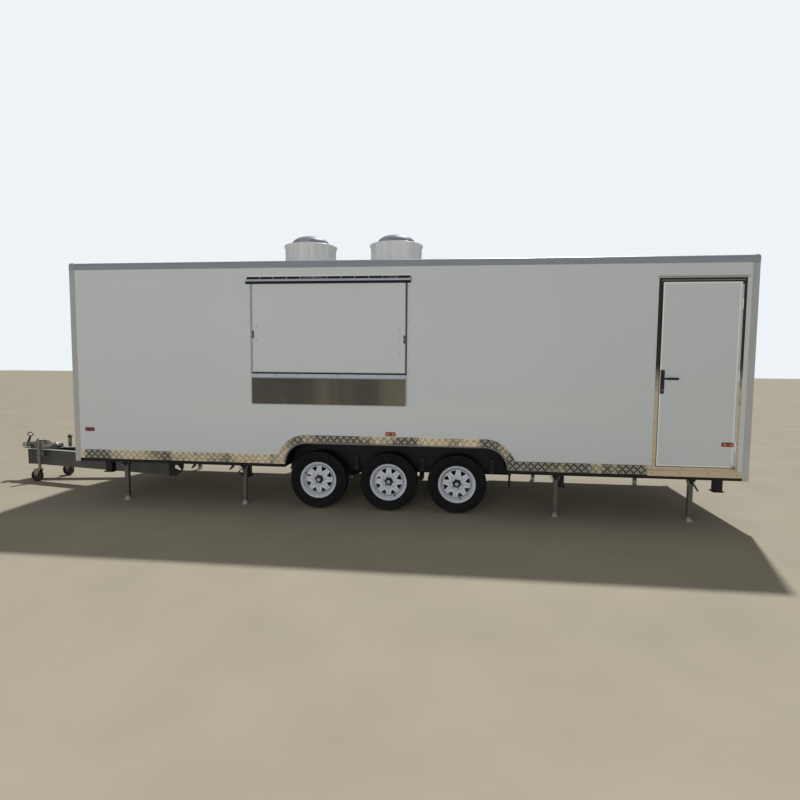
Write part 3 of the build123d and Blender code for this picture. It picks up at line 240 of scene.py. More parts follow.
def build_materials():
    surface("ground_pale", (0.45, 0.4, 0.3), 0.85, vary=0.05, grain=1.3, bump=0.15, bump_grain=30)
    # The walls are white; this darker, blue-tinted grey is painted shade of a side out of the sun.
    surface(
        "panel", (0.53, 0.56, 0.572), 0.16, vary=0.012, grain=0.8, rough_vary=0.03, bump=0.22,
        bump_grain=2.2, bump_stretch=(1, 1, 0.35), coat=0.35, tint_below=(DUST, 0.5, 0.8, 0.06),
    )
    surface("roof", (0.6, 0.62, 0.625), 0.48, vary=0.03, grain=1.2, bump=0.1, bump_grain=3.0)
    surface("edge_white", (0.74, 0.75, 0.75), 0.3, vary=0.02, grain=14)
    surface(
        "aluminium", (0.42, 0.45, 0.49), 0.36, metallic=0.85, vary=0.05, grain=6,
        stretch=(0.4, 6, 6), bump=0.05, bump_grain=160, bump_stretch=(0.05, 1, 1),
    )
    surface(
        "upright", (0.6, 0.61, 0.63), 0.36, metallic=0.85, vary=0.05, grain=6,
        stretch=(6, 6, 0.4), bump=0.05, bump_grain=160, bump_stretch=(1, 1, 0.05),
    )
    surface(
        "vent", (0.78, 0.79, 0.79), 0.42, metallic=0.5, vary=0.1, grain=6,
        stretch=(2.2, 2.2, 0.2), rough_vary=0.08, bump=0.08, bump_grain=60, bump_stretch=(1, 1, 0.08),
    )
    surface(
        "dome", (0.24, 0.27, 0.32), 0.52, metallic=0.3, vary=0.2, rough_vary=0.1,
        patch=((0.36, 0.38, 0.41), 7.0, (1, 1, 1.5), 0.5, 0.62),
    )
    # The warm beige tone and the large dark patches are painted reflection on the aluminium tread plate:
    # sunlit ground and shade.
    surface(
        "chequer", (0.86, 0.77, 0.62), 0.26, metallic=0.85, vary=0.1, grain=11, rough_vary=0.07,
        bump=0.05, bump_grain=220, patch=((0.17, 0.172, 0.17), 2.3, (1, 1, 0.4), 0.44, 0.54),
    )
    # The dark colour of the outer bars is painted shade and the light colour of the inner bars, defined
    # next, painted highlight; all bars are the same aluminium.
    surface("tread", (0.04, 0.037, 0.035), 0.5, metallic=0.3, vary=0.12, grain=11, rough_vary=0.07)
    surface("tread_painted_highlight", (0.95, 0.88, 0.74), 0.22, metallic=0.8, vary=0.12, grain=11, rough_vary=0.07)
    # Darker tone: painted shade of the wheel arch's return flange, on the strip along the arch's edge. The
    # door frame's head band uses it too.
    surface("arch_lip", (0.24, 0.225, 0.2), 0.35, metallic=0.6, vary=0.12, grain=8)
    # The near-black tone above and the beige low tint below 1.25 to 1.7 m are painted reflection on the
    # steel door frame: dark surroundings above, sunlit ground below.
    surface(
        "stainless", (0.055, 0.052, 0.048), 0.22, metallic=0.8, vary=0.25, grain=5,
        stretch=(5, 5, 0.3), bump=0.06, bump_grain=200, bump_stretch=(1, 1, 0.03),
        tint_below=((0.68, 0.6, 0.47), 1.25, 1.7, 2.2),
    )
    # The dark tone with lighter vertical bands is painted reflection of dark surroundings on the counter's
    # steel; the fine bump is its grain.
    surface(
        "brushed", (0.115, 0.113, 0.108), 0.28, metallic=0.9, vary=0.1, grain=3.2,
        stretch=(1.6, 1, 0.2), rough_vary=0.06, bump=0.1, bump_grain=240, bump_stretch=(0.02, 1, 1),
        patch=((0.2, 0.193, 0.155), 0.9, (1.6, 1, 0.1), 0.5, 0.64),
    )
    surface(
        "chassis", (0.012, 0.0125, 0.014), 0.46, vary=0.15, grain=5, bump=0.05, bump_grain=90,
        tint_below=(DUST, 0.2, 0.6, 0.05), shine=0.25,
    )
    # The beam's upward faces take a light grey: painted highlight of sunlight on the top flanges.
    surface(
        "beam", (0.055, 0.058, 0.062), 0.42, metallic=0.3, vary=0.1, grain=4, stretch=(0.6, 3, 3),
        bump=0.05, bump_grain=90, tint_below=(DUST, 0.2, 0.5, 0.18), top=(0.62, 0.62, 0.6),
    )
    surface(
        "zinc", (0.27, 0.26, 0.22), 0.42, metallic=0.7, vary=0.1, grain=14, bump=0.08,
        bump_grain=120, spangle=90.0, tint_below=(DUST, 0.0, 0.35, 0.3),
    )
    surface(
        "leg", (0.15, 0.146, 0.132), 0.45, metallic=0.5, vary=0.1, grain=10, bump=0.08,
        bump_grain=120, spangle=90.0, tint_below=((0.52, 0.56, 0.57), 0.012, 0.055, 1.4),
    )
    surface(
        "coupling", (0.34, 0.34, 0.33), 0.36, metallic=0.75, vary=0.14, grain=14, bump=0.12,
        bump_grain=70, patch=((0.1, 0.1, 0.1), 11.0, EVEN, 0.5, 0.62),
    )
    surface(
        "tyre", (0.0085, 0.0085, 0.0095), 0.62, vary=0.25, grain=16, bump=0.2, bump_grain=260,
        tint_below=(DUST, 0.0, 0.1, 0.06), shine=0.16,
    )
    # Lighter rubber on the raised sidewall rings: a painted highlight along the tread shoulder.
    surface("tyre_ring_painted_highlight", (0.03, 0.031, 0.033), 0.6, vary=0.3, bump=0.1, bump_grain=200, shine=0.25)
    # Light grey paint; its blue tint is painted shade lit by the sky.
    surface("wheel", (0.575, 0.61, 0.675), 0.3, vary=0.03, grain=10, coat=0.3, tint_below=(DUST, 0.1, 0.3, 0.12))
    surface("nut", (0.09, 0.09, 0.09), 0.4, metallic=0.8, vary=0.2, grain=60)
    surface("cap", (0.36, 0.36, 0.35), 0.5, grain=40)
    # Darker grey ring: painted shade in the groove where the disc meets the barrel.
    surface("wheel_groove_painted_shade", (0.2, 0.21, 0.235), 0.5, vary=0.2, grain=18)
    surface("wheel_nut", (0.42, 0.43, 0.45), 0.35, metallic=0.5, vary=0.1, grain=60)
    surface("rubber", (0.02, 0.02, 0.022), 0.7, vary=0.2, grain=30, bump=0.1, bump_grain=200)
    surface("black", (0.012, 0.013, 0.018), 0.32, vary=0.15, grain=40)
    # The lighter beige patches on the dark covers are painted glints.
    surface(
        "hinge", (0.03, 0.028, 0.027), 0.35, metallic=0.6, vary=0.2, grain=12, stretch=(1, 6, 6),
        patch=((0.15, 0.135, 0.105), 3.2, EVEN, 0.58, 0.68),
    )
    surface(
        "rail", (0.5, 0.56, 0.64), 0.34, metallic=0.45, vary=0.05, grain=8, stretch=(0.4, 6, 6),
        bump=0.04, bump_grain=160, bump_stretch=(0.05, 1, 1),
    )
    # Near black on the rail's lower face and underside: painted shade beneath the rail.
    surface("rail_underside_painted_shade", (0.004, 0.005, 0.012), 0.6, vary=0.1, grain=20)
    for name, colour, rough in (
        ("red", (0.12, 0.008, 0.01), 0.2),
        ("amber", (0.2, 0.034, 0.01), 0.2),
        ("red_bulb", (0.3, 0.016, 0.018), 0.22),
        ("amber_bulb", (0.62, 0.15, 0.025), 0.22),
    ):
        surface(name, colour, rough, vary=0.1, grain=60, coat=0.6)
    surface("cast", (0.36, 0.365, 0.37), 0.45, metallic=0.5, grain=30, bump=0.1, bump_grain=120)
    surface("beige", (0.5, 0.44, 0.34), 0.4, metallic=0.4, vary=0.08, grain=5, stretch=(0.5, 4, 4))
    surface("counter_edge", (0.3, 0.29, 0.28), 0.28, metallic=0.95, vary=0.08, grain=5)
    surface("chrome", (0.7, 0.7, 0.7), 0.1, metallic=1.0, vary=0.03, grain=30, rough_vary=0.03)
    surface("brass", (0.55, 0.4, 0.16), 0.3, metallic=1.0, vary=0.08, grain=80)
    surface("floor", (0.3, 0.3, 0.31), 0.5, metallic=0.5, vary=0.08, grain=7, bump=0.2, bump_grain=60)
    surface("sealant", (0.5, 0.5, 0.49), 0.5, vary=0.05, grain=40, bump=0.2, bump_grain=60)
    surface("jockey_tyre", (0.018, 0.018, 0.018), 0.6, vary=0.2, grain=40)


NODE_MATERIALS = {
    "panel": ("service_wall", "far_wall", "front_wall", "rear_wall", "door", "hatch", "hatch_frame"),
    "roof": ("roof",),
    "aluminium": ("roof_trim",),
    "rail": ("counter_rail", "hatch_hinge"),
    "upright": ("corner_trims",),
    "chequer": ("skirts",),
    "stainless": ("door_frame",),
    "brushed": ("counter",),
    "vent": ("roof_vent_1", "roof_vent_2"),
    "chassis": ("chassis_frame", "wheel_wells", "axles"),
    "beam": ("drawbar_beams", "drawbar_nose"),
    "coupling": ("coupling",),
    "zinc": ("jockey_tubes", "jockey_castor_1", "jockey_castor_2"),
    "leg": tuple(f"leg_{side_name}_{number}" for side_name, side in SIDES for number in (1, 2, 3, 4)),
    "rubber": ("mud_flaps",),
    "black": ("drain_pipe", "door_handle", "strut_barrel_left", "strut_barrel_right"),
    "chrome": ("strut_rod_left", "strut_rod_right"),
    "red": ("lamps_red",),
    "amber": ("lamps_amber", "door_lamp"),
    "floor": ("floor",),
    "jockey_tyre": ("jockey_wheel_1", "jockey_wheel_2"),
}


def dress_nodes():
    for kind, names in NODE_MATERIALS.items():
        for node_name in names:
            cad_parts[node_name].data.materials.clear()
            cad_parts[node_name].data.materials.append(MAT[kind])


# Outlines and places
def square(half):
    return ((-half, -half), (half, -half), (half, half), (-half, half))


def turns(count):
    return [2 * pi * k / count for k in range(count)]


def on_circle(radius, turn):
    return (radius * cos(turn), radius * sin(turn))


def spaced(start, end, pitch):
    """Even places from start to end, about one pitch apart."""
    count = max(1, round((end - start) / pitch))
    return [start + (end - start) * k / count for k in range(count + 1)]


def rounded(corners, radius, per_corner):
    """Outline of a polygon with arcs at its corners."""
    outline = []
    for i, corner in enumerate(corners):
        corner = Vector(corner)
        before = (Vector(corners[i - 1]) - corner).normalized()
        after = (Vector(corners[(i + 1) % len(corners)]) - corner).normalized()
        half = before.angle(after) / 2
        reach = radius / tan(half)
        centre = corner + (before + after).normalized() * (radius / sin(half))
        first, last = corner + before * reach - centre, corner + after * reach - centre
        start = atan2(first.y, first.x)
        sweep = (atan2(last.y, last.x) - start + pi) % (2 * pi) - pi
        for k in range(per_corner):
            outline.append(centre + Vector(on_circle(radius, start + sweep * k / (per_corner - 1))))
    return outline


def rectangle(width, height, radius):
    """Rounded rectangle about the origin."""
    x, y = width / 2, height / 2
    return rounded([(-x, -y), (x, -y), (x, y), (-x, y)], radius, 4)


def strip(width, height):
    """Flat bar section with small chamfers, seated slightly into what carries it."""
    half, seat = width / 2, 0.0006
    cut = min(height, half) * 0.4
    return [
        (-half, -seat), (half, -seat), (half, height - cut),
        (half - cut, height), (cut - half, height), (-half, height - cut),
    ]


def pin(radius, low, high):
    """Lathe profile of a plain round pin."""
    return [(0, low), (radius, low), (radius, high), (0, high)]


def collar(inner, outer, low, high):
    """Lathe profile of a plain ring."""
    return [(inner, high), (inner, low), (outer, low), (outer, high)]


def frame_path(corners, y, inset=0.0):
    """Rectangle on the serving side from its left, right, bottom and top."""
    s0, s1, z0, z1 = corners
    s0, s1, z0, z1 = s0 + inset, s1 - inset, z0 + inset, z1 - inset
    return [(s0, y, z0), (s1, y, z0), (s1, y, z1), (s0, y, z1)]


def turned(degrees, axis):
    return Matrix.Rotation(radians(degrees), 4, axis)


def standing(s, y, z=0):
    """Local axes are the trailer's, with the origin at a place given from the body's front."""
    return Matrix.Translation((at(s), y, z))


def place(spot, normal):
    """Local Z looks along the normal, with the origin at a place given from the body's front."""
    return standing(*spot) @ Vector(normal).to_track_quat("Z", "Y").to_matrix().to_4x4()


def beside(y):
    """Local X and Y are the trailer's lengthwise and upward ways, from one side plane."""
    return standing(0, y) @ turned(90, "X")


# Mesh building
class Build:
    """Gathers simple shapes into one mesh piece."""

    def __init__(self):
        self.points = []
        self.faces = []
        self.tags = []

    def add(self, points, faces, tag=0, where=None):
        base = len(self.points)
        if where is not None:
            points = [where @ Vector(p) for p in points]
        self.points += [tuple(p) for p in points]
        self.faces += [tuple(base + i for i in face) for face in faces]
        self.tags += [tag] * len(faces)

    def skin(self, rings, tag=0, where=None, closed=False, capped=True):
        """Surface over rings of equal count, capped at its ends or led back to the first ring."""
        count, size = len(rings), len(rings[0])
        faces = []
        for ring in range(count if closed else count - 1):
            a, b = ring * size, (ring + 1) % count * size
            faces += [(a + k, a + (k + 1) % size, b + (k + 1) % size, b + k) for k in range(size)]
        if capped and not closed:
            faces += [tuple(range(size))[::-1], tuple(range((count - 1) * size, count * size))]
        self.add([p for ring in rings for p in ring], faces, tag, where)

    def stack(self, levels, where=None, tag=0):
        """Outlines of equal count at rising heights."""
        self.skin([[(x, y, z) for x, y in outline] for outline, z in levels], tag, where)

    def prism(self, outline, depth, where=None, tag=0):
        """Outline in the local XY plane, raised along local Z."""
        self.stack([(outline, 0), (outline, depth)], where, tag)

    def box(self, s0, s1, y0, y1, z0, z1, tag=0, where=None):
        """Its lengthwise ends are given from the front, or in the local axes of where."""
        outline = [(s0, y0), (s1, y0), (s1, y1), (s0, y1)]
        self.stack([(outline, z0), (outline, z1)], standing(0, 0) if where is None else where, tag)

    def bar(self, outline, s0, s1, tag=0):
        """Outline of Y and Z drawn out along the trailer."""
        self.skin([[(at(s), y, z) for y, z in outline] for s in (s0, s1)], tag)

    def lathe(self, profile, where=None, steps=32, tag=0, closed=False):
        """Profile of radius and height turned about local Z."""
        points, rings = [], []
        for r, z in profile:
            start, count = len(points), steps if r > 0 else 1
            points += [(*on_circle(r, turn), z) for turn in turns(steps)[:count]]
            rings.append([start + i % count for i in range(steps + 1)])
        pairs = list(zip(rings, rings[1:]))
        if closed:
            pairs.append((rings[-1], rings[0]))
        quads = [(a[i], a[i + 1], b[i + 1], b[i]) for a, b in pairs for i in range(steps)]
        faces = [tuple(dict.fromkeys(quad)) for quad in quads if len(set(quad)) > 2]
        self.add(points, faces, tag, where)

    def tube(self, path, radius, sides=10, tag=0, closed=False):
        """Round bar along places given from the front, with its ends closed."""
        path = [Vector((at(s), y, z)) for s, y, z in path]
        n = len(path)
        rings, side = [], None
        for i, p in enumerate(path):
            if closed:
                ahead = path[(i + 1) % n] - path[i - 1]
            else:
                ahead = path[min(i + 1, n - 1)] - path[max(i - 1, 0)]
            ahead.normalize()
            if side is None:
                side = ahead.orthogonal().normalized()
            side = (side - ahead * side.dot(ahead)).normalized()
            up = ahead.cross(side)
            rings.append([p + (side * cos(turn) + up * sin(turn)) * radius for turn in turns(sides)])
        self.skin(rings, tag, None, closed)

    def sweep(self, path, section, up, closed=False, tag=0):
        """Section of side and up offsets along straight runs with mitred corners."""
        path = [Vector((at(s), y, z)) for s, y, z in path]
        up = Vector(up)
        n = len(path)
        rings = []
        for i, p in enumerate(path):
            before = (p - path[i - 1]) if closed or i else (path[1] - p)
            after = (path[(i + 1) % n] - p) if closed or i < n - 1 else (p - path[i - 1])
            first = before.normalized().cross(up)
            side = first + after.normalized().cross(up)
            side /= side.dot(first)
            rings.append([p + side * u + up * v for u, v in section])
        self.skin(rings, tag, None, closed)

    def screws(self, spots, normal, radius=0.005, tag=0):
        """Low domed heads on thin rims, at places given from the front."""
        shape = ((1, 0.2), (0.72, 0.5), (0.3, 0.62), (0, 0.64))
        profile = [(0, -0.0004), (radius, -0.0004)] + [(radius * r, radius * z) for r, z in shape]
        for spot in spots:
            self.lathe(profile, place(spot, normal), 10, tag)

    def bolt(self, spot, normal, across=0.019, height=0.012, tag=0):
        """Hexagon head on a washer."""
        where = place(spot, normal)
        washer, r = across * 0.68, across * 0.577
        self.lathe(pin(washer, -0.0005, 0.002), where, 16, tag)
        head = [(0, 0.001), (r, 0.001), (r, height * 0.85), (r * 0.86, height), (0, height)]
        self.lathe(head, where, 6, tag)

    def make(self, name, materials, body="trailer", bevel=0.0, angle=35):
        mesh = bpy.data.meshes.new(name)
        mesh.from_pydata(self.points, [], self.faces)
        for material in materials:
            mesh.materials.append(MAT[material])
        mesh.polygons.foreach_set("material_index", self.tags)
        shape = bmesh.new()
        shape.from_mesh(mesh)
        bmesh.ops.recalc_face_normals(shape, faces=shape.faces)
        shape.to_mesh(mesh)
        shape.free()
        mesh.shade_smooth()
        mesh.set_sharp_from_angle(angle=radians(angle))
        piece = new_object(name, mesh)
        if bevel:
            modifier = piece.modifiers.new("bevel", "BEVEL")
            modifier.width = bevel
            modifier.segments = 2
            modifier.limit_method = "ANGLE"
            modifier.angle_limit = radians(40)
        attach(piece, body)
        return piece


# Tread plate of the skirts
ARCH_FRONT, ARCH_REAR, ARCH_TOP, ARCH_RADIUS = 2.6, 5.12, 0.775, 0.25
ARCH_SPRING = ARCH_TOP - ARCH_RADIUS
ARCH_CORNERS = ((ARCH_FRONT + ARCH_RADIUS, pi), (ARCH_REAR - ARCH_RADIUS, pi / 2))
ARCH_BAND, ARCH_LIP, LIP_MIDDLE = 0.1, 0.014, 0.0085
SKIRT_START, SKIRT_BOTTOM, SKIRT_TOP = 0.064, 0.535, 0.64
SKIRT_FACE = HALF_WIDTH + 0.004
SKIRT_ENDS = {NEAR: 6.589, FAR: 7.536}
SKIRT_SCREW, SKIRT_SCREW_PITCH = 0.0055, 0.154
TREAD_CELL, TREAD_HEIGHT, TREAD_MARGIN = 0.0385, 0.0022, 0.004
# Length and width of the outer bars, which carry painted shade, and of the inner bars, which carry painted
# highlight.
PAINTED_SHADE_BAR, PAINTED_HIGHLIGHT_BAR = (0.057, 0.006), (0.042, 0.0085)
PAINTED_SHADE_OFFSET, PAINTED_HIGHLIGHT_OFFSET = TREAD_CELL / sqrt(2), 0.0095


def from_arch(s, z):
    """Distance outside the wheel arch opening, negative inside it."""
    across = max(ARCH_FRONT - s, s - ARCH_REAR)
    if z < ARCH_SPRING:
        return across
    dx, dz = across + ARCH_RADIUS, z - ARCH_SPRING
    if dx > 0:
        return hypot(dx, dz) - ARCH_RADIUS
    return dz - ARCH_RADIUS


def on_skirt(s, z, side, margin):
    """Whether a place lies on the skirt or the arch band, a margin inside their edges."""
    near_arch = from_arch(s, z)
    if near_arch < margin + ARCH_LIP or z < SKIRT_BOTTOM + margin:
        return False
    if near_arch < ARCH_BAND - margin:
        return True
    inside_ends = SKIRT_START + margin < s < SKIRT_ENDS[side] - margin
    return inside_ends and z < SKIRT_TOP - margin


def arch_arcs(radius, shares):
    """Points on both corners of the arch, at shares of each corner's quarter turn."""
    points = []
    for centre, start in ARCH_CORNERS:
        for share in shares:
            ahead, up = on_circle(radius, start - share * pi / 2)
            points.append((centre + ahead, ARCH_SPRING + up))
    return points


def raise_bar(plate, spot, slope, offset, size, side, tag):
    """One ridged bar of the tread, cut short where the sheet ends."""
    length, width = size
    along = Vector((1, slope)).normalized()
    across = Vector((-along.y, along.x))
    middle = spot + across * offset
    steps = [k / 20 for k in range(-10, 11)]
    inside = [step for step in steps if on_skirt(*(middle + along * length * step), side, TREAD_MARGIN)]
    if len(inside) < 5:
        return
    middle += along * length * (inside[0] + inside[-1]) / 2
    length *= inside[-1] - inside[0]
    foot = [(-0.5, 0), (-0.28, -0.5), (0.28, -0.5), (0.5, 0), (0.28, 0.5), (-0.28, 0.5)]
    low = [middle + along * length * u + across * width * v for u, v in foot]
    ridge = [middle + along * length * u for u in (-0.3, 0.3)]
    points = [(at(p.x), side * (SKIRT_FACE - 0.0003), p.y) for p in low]
    points += [(at(p.x), side * (SKIRT_FACE + TREAD_HEIGHT), p.y) for p in ridge]
    slopes = [(1, 2, 7, 6), (4, 5, 6, 7), (0, 1, 6), (5, 0, 6), (2, 3, 7), (3, 4, 7)]
    plate.add(points, slopes + [(0, 5, 4, 3, 2, 1)], tag)


def skirt_screw_spots(side):
    """Rows at the skirt's lower and upper edges and on both edges of the arch band."""
    spots = []
    s = SKIRT_START + 0.06
    while s < SKIRT_ENDS[side] - 0.03:
        heights = (SKIRT_BOTTOM + 0.012, SKIRT_TOP - 0.01)
        spots += [(s, z) for z in heights if on_skirt(s, z, side, 0.006)]
        s += SKIRT_SCREW_PITCH
    start, run = ARCH_FRONT + ARCH_RADIUS, ARCH_REAR - ARCH_FRONT - 2 * ARCH_RADIUS
    for margin in (0.022, ARCH_BAND - 0.01):
        spots += arch_arcs(ARCH_RADIUS + margin, [(k + 0.3) / 4 for k in range(4)])
        spots += [(start + run * (k + 0.5) / 13, ARCH_TOP + margin) for k in range(13)]
    return spots


def build_tread_plate():
    rows = ceil((ARCH_TOP + ARCH_BAND - SKIRT_BOTTOM) / TREAD_CELL)
    for side_name, side in SIDES:
        out = (0, side, 0)
        plate = Build()
        for i in range(ceil(SKIRT_ENDS[side] / TREAD_CELL)):
            for j in range(i % 2, rows, 2):
                spot = Vector(((i + 0.5) * TREAD_CELL, SKIRT_BOTTOM + (j + 0.35) * TREAD_CELL))
                # Each cell has four outer bars coloured as painted shade and two inner bars coloured as
                # painted highlight.
                for way in (-1, 1):
                    raise_bar(plate, spot, 1, way * PAINTED_SHADE_OFFSET, PAINTED_SHADE_BAR, side, 0)
                    raise_bar(plate, spot, -1, way * PAINTED_SHADE_OFFSET, PAINTED_SHADE_BAR, side, 0)
                    raise_bar(plate, spot, 1 if i % 2 else -1, way * PAINTED_HIGHLIGHT_OFFSET, PAINTED_HIGHLIGHT_BAR, side, 1)
        # A thin strip along the arch's edge whose darker colour is painted shade of the arch's return
        # flange.
        edge = arch_arcs(ARCH_RADIUS + LIP_MIDDLE, [k / 16 for k in range(17)])
        lip = [(s, side * SKIRT_FACE, z) for s, z in edge if z > SKIRT_BOTTOM + 0.002]
        plate.sweep(lip, strip(0.0165, 0.0016), out, False, 2)
        plate.make("tread_plate_" + side_name, ["tread", "tread_painted_highlight", "arch_lip"], angle=80)

        screws = Build()
        screws.screws([(s, side * SKIRT_FACE, z) for s, z in skirt_screw_spots(side)], out, SKIRT_SCREW)
        screws.make("skirt_screws_" + side_name, ["nut"])


# Wheels
AXLES = (2.965, 3.788, 4.571)
TYRE_RADIUS = 0.336
TYRE_STEPS = 216
WHEEL_MIDDLE = 0.925
WHEEL_TURNS = {"near": (0.39, 0.39, 0.28), "far": (0.2, 0.1, 0.6)}
VALVE_TURNS = {"near": (2.73, -1.17, -1.34), "far": (0.5, 1.6, 2.5)}
WHEELS = [(side_name, side, axle) for side_name, side in SIDES for axle in (1, 2, 3)]
# Radius, offset and kind of each ring of the tyre, from the bead to the middle of the tread
TYRE_PROFILE = [
    (0.196, 0.058, "bead"), (0.2102, 0.064, "bead"), (0.2138, 0.0675, "plain"),
    (0.2196, 0.0745, "plain"), (0.2248, 0.08, "plain"), (0.229, 0.083, "rib"),
    (0.2324, 0.0846, "rib"), (0.2353, 0.0842, "plain"), (0.2448, 0.0888, "serrate"),
    (0.2636, 0.093, "serrate"), (0.2699, 0.0948, "rib"), (0.2731, 0.0949, "rib"),
    (0.2762, 0.0938, "plain"), (0.2888, 0.0928, "plain"), (0.3014, 0.0895, "plain"),
    (0.3098, 0.0862, "lug"), (0.3192, 0.0825, "lug"), (0.3271, 0.0765, "lug"),
    (0.3313, 0.069, "lug"), (0.3331, 0.06, "tread"), (0.3335, 0.0545, "tread"),
    (0.3255, 0.0535, "groove"), (0.3255, 0.0475, "groove"), (0.3345, 0.0465, "tread"),
    (0.3354, 0.035, "tread"), (0.3358, 0.0235, "tread"), (0.3266, 0.0225, "groove"),
    (0.3266, 0.0165, "groove"), (0.336, 0.0155, "tread"), (0.336, 0, "tread"),
]
TYRE_INSIDE = [
    (0.196, -0.052), (0.257, -0.08), (0.315, -0.06), (0.315, 0.06), (0.257, 0.08), (0.196, 0.052),
]
# Raised ring on each sidewall near the shoulder; its lighter rubber is a painted highlight.
SIDE_RING = [(0.3205, 0.08), (0.3245, 0.0785), (0.3258, 0.08), (0.325, 0.0818), (0.3215, 0.0832)]
DISC_PROFILE = (
    (0, 0.0245), (0.066, 0.0245), (0.07, 0.03), (0.075, 0.0385),
    (0.118, 0.04), (0.142, 0.033), (0.172, 0.02),
)
DISC_INNER, DISC_OUTER = 0.08, 0.164
DISC_STEPS = 96
DISC_GAUGE = 0.0045
WINDOW_CORNERS, WINDOW_RADIUS = [(0.096, 0), (0.153, -0.0355), (0.153, 0.0355)], 0.007
WINDOW_CENTRE, WINDOW_STEPS = Vector((0.134, 0)), 48
# Share of the way from the window's edge to the sector's, and how far that ring lies behind the face
WINDOW_RINGS = ((0, 0.006), (0, 0.001), (0.12, -0.002), (0.3, -0.0015), (0.6, 0), (1, 0))
HUB_RADII = (0.044, 0.046, 0.055, 0.066, 0.07, 0.0735, 0.075, DISC_INNER)
BARREL_PROFILE = [
    (0.212, 0.075), (0.2113, 0.0768), (0.209, 0.0772), (0.206, 0.075), (0.204, 0.07), (0.2005, 0.0655),
    (0.1905, 0.062), (0.188, 0.058), (0.1875, 0.04), (0.186, 0.035), (0.1765, 0.023), (0.172, 0.018),
    (0.171, 0.012), (0.171, -0.012), (0.1725, -0.019), (0.186, -0.034), (0.1875, -0.04), (0.1875, -0.06),
    (0.1905, -0.064), (0.2005, -0.067), (0.204, -0.071), (0.2075, -0.0765), (0.212, -0.075),
    (0.212, -0.067), (0.195, -0.06), (0.1945, -0.033), (0.1765, -0.015), (0.1765, 0.015),
    (0.1945, 0.033), (0.195, 0.06), (0.212, 0.067),
]
HUB_PROFILE = [
    (0, -0.03), (0.043, -0.03), (0.043, 0.0255), (0.0475, 0.0255), (0.048, 0.028),
    (0.042, 0.0345), (0.0265, 0.036), (0.0265, 0.03), (0, 0.03),
]
# Thin ring laid on the disc's outer edge, coloured as painted shade of the groove into the barrel.
GROOVE_SHADE_PROFILE = [
    (0.161, 0.0226), (0.1618, 0.024), (0.1698, 0.0228), (0.1722, 0.0172), (0.1714, 0.0165), (0.169, 0.0216),
]
CAP_PROFILE = [(0, 0.03), (0.0235, 0.03), (0.0235, 0.058), (0.0215, 0.062), (0.01, 0.0645), (0, 0.065)]
NUT_CIRCLE, NUT_HEIGHT = 0.057, 0.024
NUT_PROFILE = [(0, 0), (0.0125, 0), (0.0105, 0.005), (0.0105, 0.014), (0.008, 0.0165), (0, 0.0165)]
STUD_PROFILE = [(0, 0.012), (0.0055, 0.012), (0.0055, 0.023), (0, 0.0235)]
VALVE_PLACE, VALVE_LEAN = (0.18, 0, 0.03), -38
VALVE_PROFILE = [
    (0, -0.004), (0.0075, -0.004), (0.0075, 0.004), (0.0045, 0.01), (0.004, 0.026),
    (0.0046, 0.027), (0.0046, 0.036), (0.003, 0.038), (0, 0.038),
]


def wheel_place(side, axle, turn=0.0):
    """Local Z points to the street side of a wheel."""
    spot = (AXLES[axle - 1], side * WHEEL_MIDDLE, TYRE_RADIUS)
    return place(spot, (0, side, 0)) @ Matrix.Rotation(turn, 4, "Z")


def moulded(r, z, kind, step):
    """Radius and offset of a tyre point with the notches of its place around the tyre."""
    outward = 1 if z > 0 else -1
    if kind == "lug" and step % 4 in (0, 1):
        return r - 0.0022, z - outward * 0.0032
    if kind == "serrate" and step % 2:
        return r, z - outward * 0.0007
    if kind == "tread" and step % 6 == 0 and 0.02 < abs(z) < 0.06:
        return r - 0.003, z
    return r, z


def build_tyres():
    profile = TYRE_PROFILE + [(r, -z, kind) for r, z, kind in TYRE_PROFILE[-2::-1]]
    rings = []
    for step, turn in enumerate(turns(TYRE_STEPS)):
        section = [moulded(r, z, kind, step) for r, z, kind in profile] + TYRE_INSIDE
        rings.append([(*on_circle(r, turn), z) for r, z in section])
    for side_name, side, axle in WHEELS:
        rubber = Build()
        where = wheel_place(side, axle)
        rubber.skin(rings, 0, where, closed=True)
        for level in (1, -1):
            rubber.lathe([(r, level * z) for r, z in SIDE_RING], where, TYRE_STEPS, 1, True)
        name, body = f"tyre_dressed_{side_name}_{axle}", f"wheel_{side_name}_{axle}"
        piece = rubber.make(name, ["tyre", "tyre_ring_painted_highlight"], body, angle=28)
        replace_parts(piece, f"tyre_{side_name}_{axle}")


def disc_height(r):
    """Street side surface of the wheel disc."""
    for (r0, z0), (r1, z1) in zip(DISC_PROFILE, DISC_PROFILE[1:]):
        if r <= r1:
            share = (r - r0) / (r1 - r0)
            share = share * share * (3 - 2 * share)
            return z0 + (z1 - z0) * share
    return DISC_PROFILE[-1][1]


def resample(loop, count, centre):
    """Points where evenly turned rays from the centre cross a loop."""
    result = []
    for turn in turns(count):
        ray = Vector(on_circle(1, turn))
        reaches = []
        for i, corner in enumerate(loop):
            p, q = corner - centre, loop[(i + 1) % len(loop)] - centre
            edge = q - p
            cross = ray.cross(edge)
            if abs(cross) < 1e-12:
                continue
            along, share = p.cross(edge) / cross, p.cross(ray) / cross
            if along > 0 and -1e-9 <= share <= 1 + 1e-9:
                reaches.append(along)
        result.append(centre + ray * max(reaches))
    return result


def window_edges():
    """Outlines of one window and of the disc sector around it, ray by ray."""
    sweep = [pi / 8 * (k / 4 - 1) for k in range(9)]
    sector = [Vector(on_circle(DISC_OUTER, turn)) for turn in sweep]
    sector += [Vector(on_circle(DISC_INNER, -turn)) for turn in sweep]
    window = rounded(WINDOW_CORNERS, WINDOW_RADIUS, 7)
    return [resample(outline, WINDOW_STEPS, WINDOW_CENTRE) for outline in (window, sector)]


